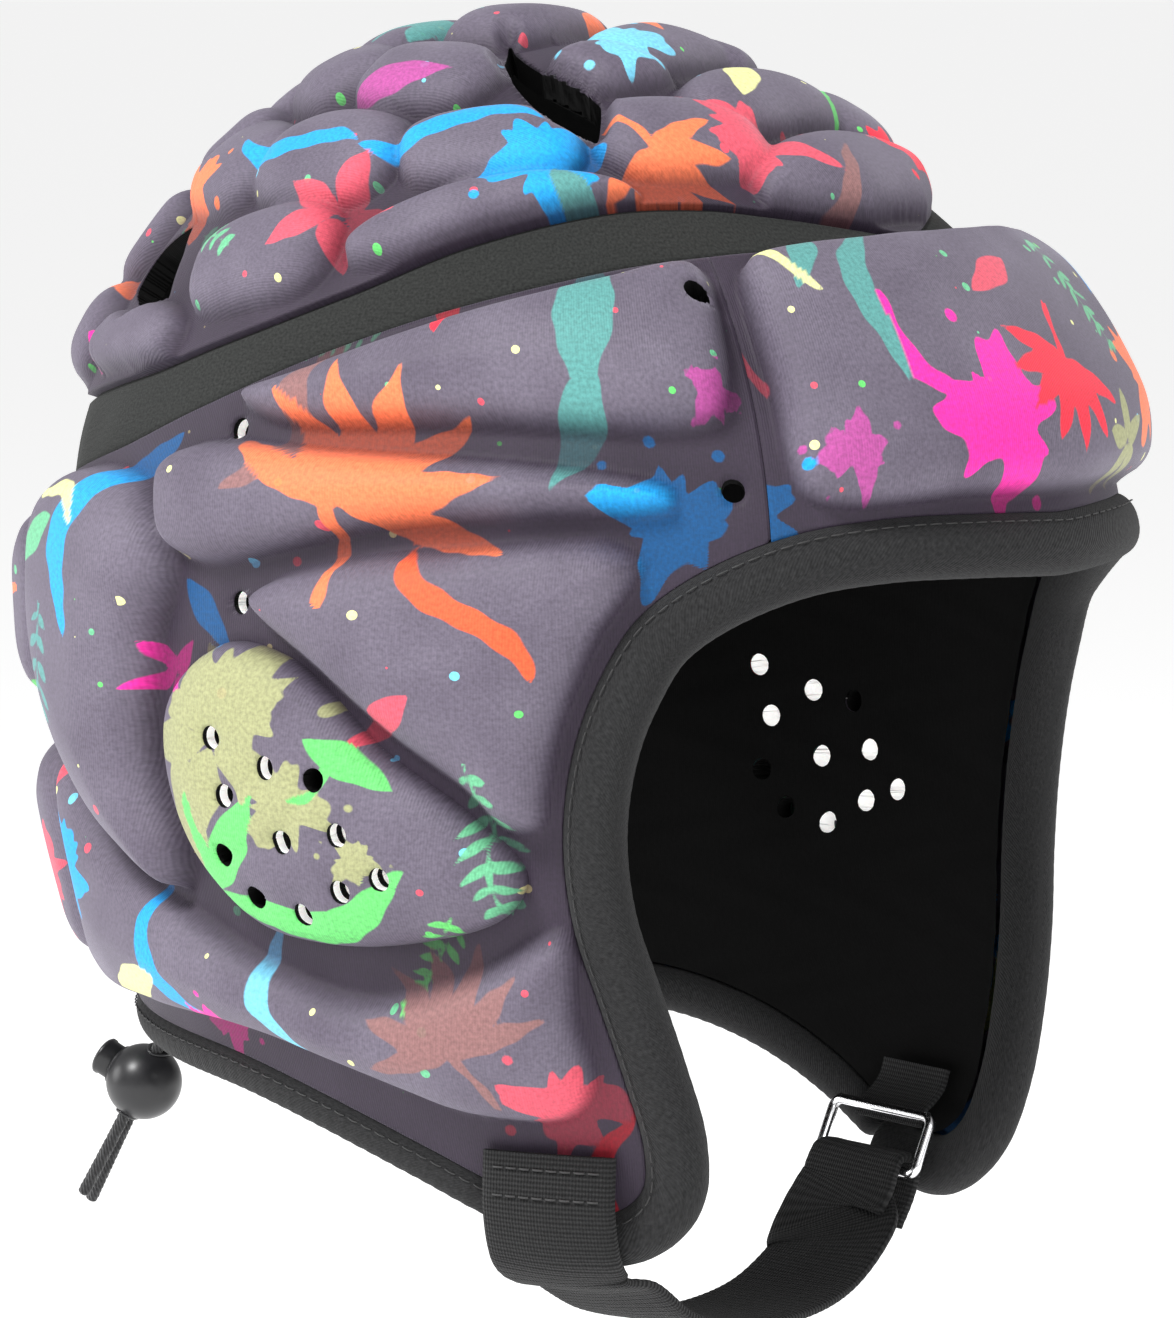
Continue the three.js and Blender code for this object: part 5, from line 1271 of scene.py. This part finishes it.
# Stretch band
# A black elastic knit, widest over the temples and pointed at the front, set in the
# valley between the crown and the panels below so that the cap can give.
BAND_LOW, BAND_LIFT = -1.9, 1.0
elastic, tree, shader = new_finish(
    "stretch_knit", Roughness=0.9, Specular_IOR_Level=0.2, Sheen_Weight=0.04
)
fine = noise_in(tree, flow_coordinates(tree, 1700, 1700), 3.0)
tinted(tree, shader, fine, (0.013, 0.0135, 0.013), (0.034, 0.036, 0.034), (0.3, 0.72))
grain_bump(tree, shader, [fine, wave_in(tree, 1100, 1100, "Y", Distortion=0.6)], 0.4, 0.0002)
a = np.linspace(-180, 180, 620)
t = np.linspace(-0.04, 1.04, 26)[:, None]
levels = band_edge(1, a) + (band_edge(2, a) - band_edge(1, a)) * t
# The band turns down at its edges and puckers a little towards the back
turned = np.clip((0.5 - np.abs(t - 0.5)) / 0.08, 0, 1)
pucker = np.sin(np.radians(a) * 19 + 2 * np.sin(np.radians(a) * 5)) * np.clip((np.abs(a) - 90) / 50, 0, 1)
lift = BAND_LOW + BAND_LIFT * turned + 0.28 * pucker * np.sin(np.pi * np.clip(t, 0, 1))
chart = np.stack(np.broadcast_arrays(a[None], levels), -1)
points = skin(chart[..., 0], levels, lift).reshape(-1, 3) / 1000
cloth = flat_map(chart, False).reshape(-1, 2) / 1000
band = mesh_piece("elastic_band", points, strip_faces(26, 620)[:, ::-1], elastic, cloth)
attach(band, "cap")
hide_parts("stretch_band")

# Face binding
# One length of black knitted tape wrapped over a soft roll, sewn round the whole face
# opening from flap tip to flap tip.
tape, tree, shader = new_finish(
    "binding_tape", Roughness=0.88, Specular_IOR_Level=0.2, Sheen_Weight=0.05
)
fine = noise_in(tree, flow_coordinates(tree, 1300, 1300), 4.0)
tinted(tree, shader, fine, (0.012, 0.012, 0.0125), (0.031, 0.031, 0.032), (0.3, 0.72))
grain_bump(tree, shader, [fine, wave_in(tree, 850, 850, "DIAGONAL", Distortion=1.0)], 0.45, 0.00022)
black_thread, _, _ = new_finish("black_thread", Base_Color=(0.03, 0.03, 0.03, 1), Roughness=0.6)


def rim_frames(shares):
    """Place, way out of the cloth and way up at shares of the rim; minus is the left side."""
    s = np.abs(shares)
    here, ahead, behind = (by_length(RIM, np.clip(s + d, 0, 1)) for d in (0, 0.004, -0.004))
    along = shell(ahead[:, 0], ahead[:, 1]) - shell(behind[:, 0], behind[:, 1])
    along[s < 0.004] = (-1, 0, 0)
    up = outward(here[:, 0], here[:, 1])
    across = np.cross(up, along)
    across /= np.linalg.norm(across, axis=1)[:, None]
    sided = np.where(shares < 0, -1.0, 1.0)[:, None] * (1, 0, 0) + (0, 1, 1)
    return shell(here[:, 0], here[:, 1]) * sided, across * sided, up * sided


def rolled_edge(name, shares, section, finish, puckers):
    """Carries a soft closed section along the rim, with small even puckers."""
    place, across, up = rim_frames(shares)
    far = steps_along(place)
    n = len(section)
    middle = section.mean(0)
    size = 1 + puckers * np.sin(far / 3.1 * 2 * np.pi + 1.5 * np.sin(far / 17))
    # The roll draws in to a blunt point at both ends
    size *= np.maximum(np.clip(np.minimum(far, far[-1] - far) / 2.5, 0, 1) ** 0.5, 0.05)
    body = middle + (section - middle)[None] * size[:, None, None]
    points = place[:, None] + body[..., :1] * across[:, None] + body[..., 1:] * up[:, None]
    cloth = np.stack(np.broadcast_arrays(far[:, None], (np.arange(n) * 1.1)[None]), -1) / 1000
    faces = strip_faces(len(place), n, closed_columns=True)[:, ::-1]
    return mesh_piece(name, points.reshape(-1, 3) / 1000, faces, finish, cloth.reshape(-1, 2))


def tape_section(wide, thick, below, count=40):
    """A flat-backed roll; across leaves the cloth, up is the outer side."""
    t = np.linspace(0, 2 * np.pi, count, endpoint=False)
    x, y = np.cos(t), np.sin(t)
    x, y = np.sign(x) * np.abs(x) ** 0.75, np.sign(y) * np.abs(y) ** 0.8
    up = below + thick / 2 * (1 + y * (0.8 + 0.2 * np.cos((x - 0.1) * 1.4)))
    return np.stack([wide / 2 * (1 + x) - 0.2, up], axis=-1)


def at_lengths(at, far, rows):
    """The rows of a line's table at lengths along the line."""
    return np.stack([np.interp(at, far, rows[:, k]) for k in range(3)], -1)


def sewn_line(name, places, ups, long=2.2, apart=3.0, thick=0.28):
    """A row of lockstitches: short raised threads along a line, in millimetres."""
    far = steps_along(places)
    points, faces = [], []
    for start in np.arange(1.0, far[-1] - long, apart):
        at = start + np.linspace(0, long, 5)
        up = at_lengths(at, far, ups)
        lift = np.sin(np.linspace(0, np.pi, 5)) * thick * 0.9 - thick * 0.35
        line = at_lengths(at, far, places) + up * lift[:, None]
        way = line[-1] - line[0]
        side = np.cross(up, way / np.linalg.norm(way))
        faces.append(strip_faces(5, 6, closed_columns=True) + len(points) * 30)
        points.append(tube(line, side, up, thick * 0.5, 6).reshape(-1, 3))
    flat = np.zeros((len(points) * 30, 2))
    return mesh_piece(name, np.vstack(points) / 1000, np.vstack(faces), black_thread, flat)


NECK_START = SHARE_TIP + (SHARE_REAR - SHARE_TIP) / 7
face_shares = np.linspace(-NECK_START, NECK_START, 560)
binding = rolled_edge("face_roll", face_shares, tape_section(11.2, 8.8, -6.1), tape, 0.004)
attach(binding, "cap")
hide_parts("face_binding")
place, across, up = rim_frames(face_shares)
seam = sewn_line("binding_stitches", place + across * 1.7 + up * 2.05, up)
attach(seam, "cap")

# Neck hems
# A black channel along the neck edge on each side, gathered on the draw cord, open at
# the rear end where the cord comes out.
HEM_SHARE = 0.9675
for name, sign in (("right", 1), ("left", -1)):
    shares = np.linspace(NECK_START + 0.002, HEM_SHARE, 300) * sign
    hem = rolled_edge("neck_channel_" + name, shares, tape_section(8.4, 7.0, -5.6), tape, 0.012)
    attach(hem, "cap")
    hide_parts("neck_hem_" + name)
    place, across, up = rim_frames(shares)
    seam = sewn_line("hem_stitches_" + name, place + across * 1.6 + up * 1.05, up)
    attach(seam, "cap")

# Ring
# A bent and welded wire loop, bright plated, inside the left flap.
RING_AT = np.array([42.6, -48.11, -198.28])
RING_OUT = np.array([0.887187, -0.262876, -0.379203])
RING_WIDE = np.array([0.284706, 0.958614, 0.001559])
RING_RISE = np.array([0.3631, -0.109344, 0.925312])
RING_HALF, RING_CORNER, RING_STRAIGHT, WIRE_RADIUS = (13, 3.5), 2, 4, 1
BAR_OFF = RING_HALF[1] + RING_CORNER
bright, tree, shader = new_finish(
    "bright_wire", Base_Color=(0.86, 0.86, 0.88, 1), Metallic=1.0, Roughness=0.18
)
scuffs = noise_in(tree, node_in(tree, "ShaderNodeTexCoord").outputs["Object"], 3.0, 900.0)
tree.links.new(ranged(tree, scuffs, 0.1, 0.28), shader.inputs["Roughness"])
grain_bump(tree, shader, [scuffs], 0.05, 0.00005)
bends = np.array([
    (sx * RING_HALF[0] + math.cos(t) * RING_CORNER, sy * RING_HALF[1] + math.sin(t) * RING_CORNER)
    for sx, sy, start in ((1, 1, 0), (-1, 1, 90), (-1, -1, 180), (1, -1, 270))
    for t in np.radians(start + np.linspace(0, 90, 9))
])
share = np.linspace(0, 1, RING_STRAIGHT, endpoint=False)[:, None]
bends = np.vstack([p + (q - p) * share for p, q in zip(bends, np.roll(bends, -1, 0))])
middle = RING_AT + bends[:, :1] * RING_WIDE + bends[:, 1:] * RING_RISE
way = np.roll(middle, -1, 0) - np.roll(middle, 1, 0)
way /= np.linalg.norm(way, axis=1)[:, None]
points = tube(middle, np.cross(RING_OUT, way), np.broadcast_to(RING_OUT, middle.shape), WIRE_RADIUS, 16)
ring = mesh_piece(
    "wire_ring", points.reshape(-1, 3) / 1000, strip_faces(len(middle), 16, True, True)[:, ::-1],
    bright, np.zeros((len(middle) * 16, 2)),
)
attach(ring, "cap")
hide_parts("strap_ring")

# Ring tab and chin strap
# Black ribbed webbing: a short tab behind the ring, and a 25 mm strap sewn outside the
# right flap, which runs under the chin, up inside the left flap and through the ring.
STRAP_AROUND, STRAP_TOP, STRAP_WIDE, STRAP_THICK = 65.5, 1.703, 25, 2
TAB_WIDE, TAB_THICK, TAB_DEEP, TAB_OUT = 20, 1.2, -7.4, -8.6
OVER_HEM, FOLD, RING_BAR, RING_BACK = 5.6, 2.75, 1.85, 11.85
webbing, tree, shader = new_finish(
    "webbing", Roughness=0.82, Specular_IOR_Level=0.25, Sheen_Weight=0.04
)
ribs, picks = wave_in(tree, 370, 370, "X", Distortion=0.15), wave_in(tree, 520, 520, "Y", Distortion=0.4)
fuzz = noise_in(tree, flow_coordinates(tree, 1800, 1800), 3.0)
tinted(tree, shader, math_in(tree, "MULTIPLY", ribs, fuzz), (0.005, 0.005, 0.0053), (0.04, 0.04, 0.041))
grain_bump(tree, shader, [ribs, picks, fuzz], 0.6, 0.0004)


def webbing_strip(name, places, wides, ups, wide, thick, bows):
    """A woven strip with soft rounded edges, cross ribs and a bow across at each place."""
    half = np.array([(0, 0.92), (0.3, 0.92), (0.6, 0.92), (0.8, 1), (0.9, 0.95), (0.97, 0.75), (1, 0.35)])
    top = np.vstack([half[:0:-1] * (-1, 1), half])
    section = np.vstack([top * (1, -1), top[::-1]])
    far = steps_along(places)
    rib = 1 + 0.05 * np.sin(far / 1.7 * 2 * np.pi)
    x = section[:, 0] * wide / 2
    h = section[None, :, 1] * thick / 2 * rib[:, None] - bows[:, None] * section[None, :, 0] ** 2
    points = places[:, None] + x[None, :, None] * wides[:, None] + h[..., None] * ups[:, None]
    cloth = np.stack(np.broadcast_arrays(far[:, None], (x + wide)[None]), -1) / 1000
    n = len(section)
    faces = strip_faces(len(places), n, closed_columns=True).tolist()
    faces += [tuple(range(n)), tuple(n * (len(places) - 1) + np.arange(n)[::-1])]
    return mesh_piece(name, points.reshape(-1, 3) / 1000, faces, webbing, cloth.reshape(-1, 2))


def flap_way(side):
    """The way across the strap on a flap."""
    way = skin(side * STRAP_AROUND + side, 1.78, 0) - skin(side * STRAP_AROUND - side, 1.78, 0)
    return way / np.linalg.norm(way)


def faded(share):
    share = np.clip(share, 0, 1)
    return share * share * (3 - 2 * share)


ring_middle = RING_BAR - BAR_OFF / scale_at(-STRAP_AROUND, 1.77)[1]
top_bar = RING_AT + RING_RISE * BAR_OFF + RING_OUT * 1.9
tab_line = finer([
    skin(-STRAP_AROUND, ring_middle - 0.105, TAB_DEEP), skin(-STRAP_AROUND, ring_middle - 0.08, TAB_DEEP),
    skin(-STRAP_AROUND, ring_middle - 0.06, TAB_OUT), top_bar + RING_RISE, top_bar - RING_RISE * 2,
], 40)
tab_wide = np.tile(RING_WIDE, (40, 1))
tab_up = np.cross(tab_wide, way_along(tab_line))
tab = webbing_strip("webbing_tab", tab_line, tab_wide, tab_up, TAB_WIDE, TAB_THICK, np.zeros(40))
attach(tab, "cap")
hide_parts("ring_tab")

foot = skin(STRAP_AROUND, 1.84, 0)
chin = lambda x, z: np.array([x * abs(foot[0]), foot[1], foot[2] - 18 + z * 18])
ring_bar = RING_AT - RING_RISE * BAR_OFF
fold = lambda out, up: ring_bar + (RING_OUT * out + RING_RISE * up) * FOLD
strap_line = rounded(np.array([
    skin(STRAP_AROUND, STRAP_TOP, 1.7), skin(STRAP_AROUND, STRAP_TOP + 0.02, 3.0),
    skin(STRAP_AROUND, 1.77, OVER_HEM), skin(STRAP_AROUND, 1.83, OVER_HEM),
    skin(STRAP_AROUND, 1.875, OVER_HEM - 4), chin(-0.84, 0.56), chin(-0.62, 0.24), chin(-0.32, 0.04),
    chin(0, 0), chin(0.28, 0.14), chin(0.5, 0.5), skin(-STRAP_AROUND, 1.92, -RING_BACK - FOLD - 1),
    fold(-1, -1.6), fold(-1, -0.4), fold(-0.8, 0.6), fold(0, 1), fold(0.8, 0.6), fold(1, -0.4),
    fold(1, -3.6),
]), 40)
far = steps_along(strap_line)
strap_line = at_lengths(np.linspace(0, far[-1], 420), far, strap_line)
along = way_along(strap_line)
# Under the chin the strap lies level; near the flaps it takes their slant and their bow
away = faded((np.abs(strap_line[:, 0]) / abs(foot[0]) - 0.3) / 0.65)[:, None]
on_right = strap_line[:, :1] < 0
wides = np.array([0, 1, 0]) * (1 - away) + np.where(on_right, flap_way(1), flap_way(-1)) * away
wides -= along * (wides * along).sum(1)[:, None]
wides /= np.linalg.norm(wides, axis=1)[:, None]
ups = np.cross(wides, along)
facing = (ups * np.where(on_right, outward(STRAP_AROUND, 1.8), outward(-STRAP_AROUND, 1.8))).sum(1)
off = faded((np.linalg.norm(strap_line - ring_bar, axis=1) - FOLD * 1.5) / (FOLD * 3.5))
bows = 1.3 * away[:, 0] * facing * np.where(on_right[:, 0], 1, off)
strap = webbing_strip("chin_webbing", strap_line, wides, ups, STRAP_WIDE, STRAP_THICK, bows)
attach(strap, "cap")
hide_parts("chin_strap")

# Strap seam
# Two rows of lockstitch hold the strap's end on the right flap.
for n, row in enumerate((8, 22)):
    out_side = 1.0 if facing[row] > 0 else -1.0
    e = np.linspace(-0.88, 0.88, 30)[:, None]
    rise_by = ups[row] * out_side * (STRAP_THICK / 2 + 0.05 - bows[row] * out_side * e**2)
    places = strap_line[row] + e * STRAP_WIDE / 2 * wides[row] + rise_by
    seam = sewn_line("strap_seam_%d" % n, places, np.tile(ups[row] * out_side, (30, 1)), 2.0, 2.6, 0.4)
    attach(seam, "cap")
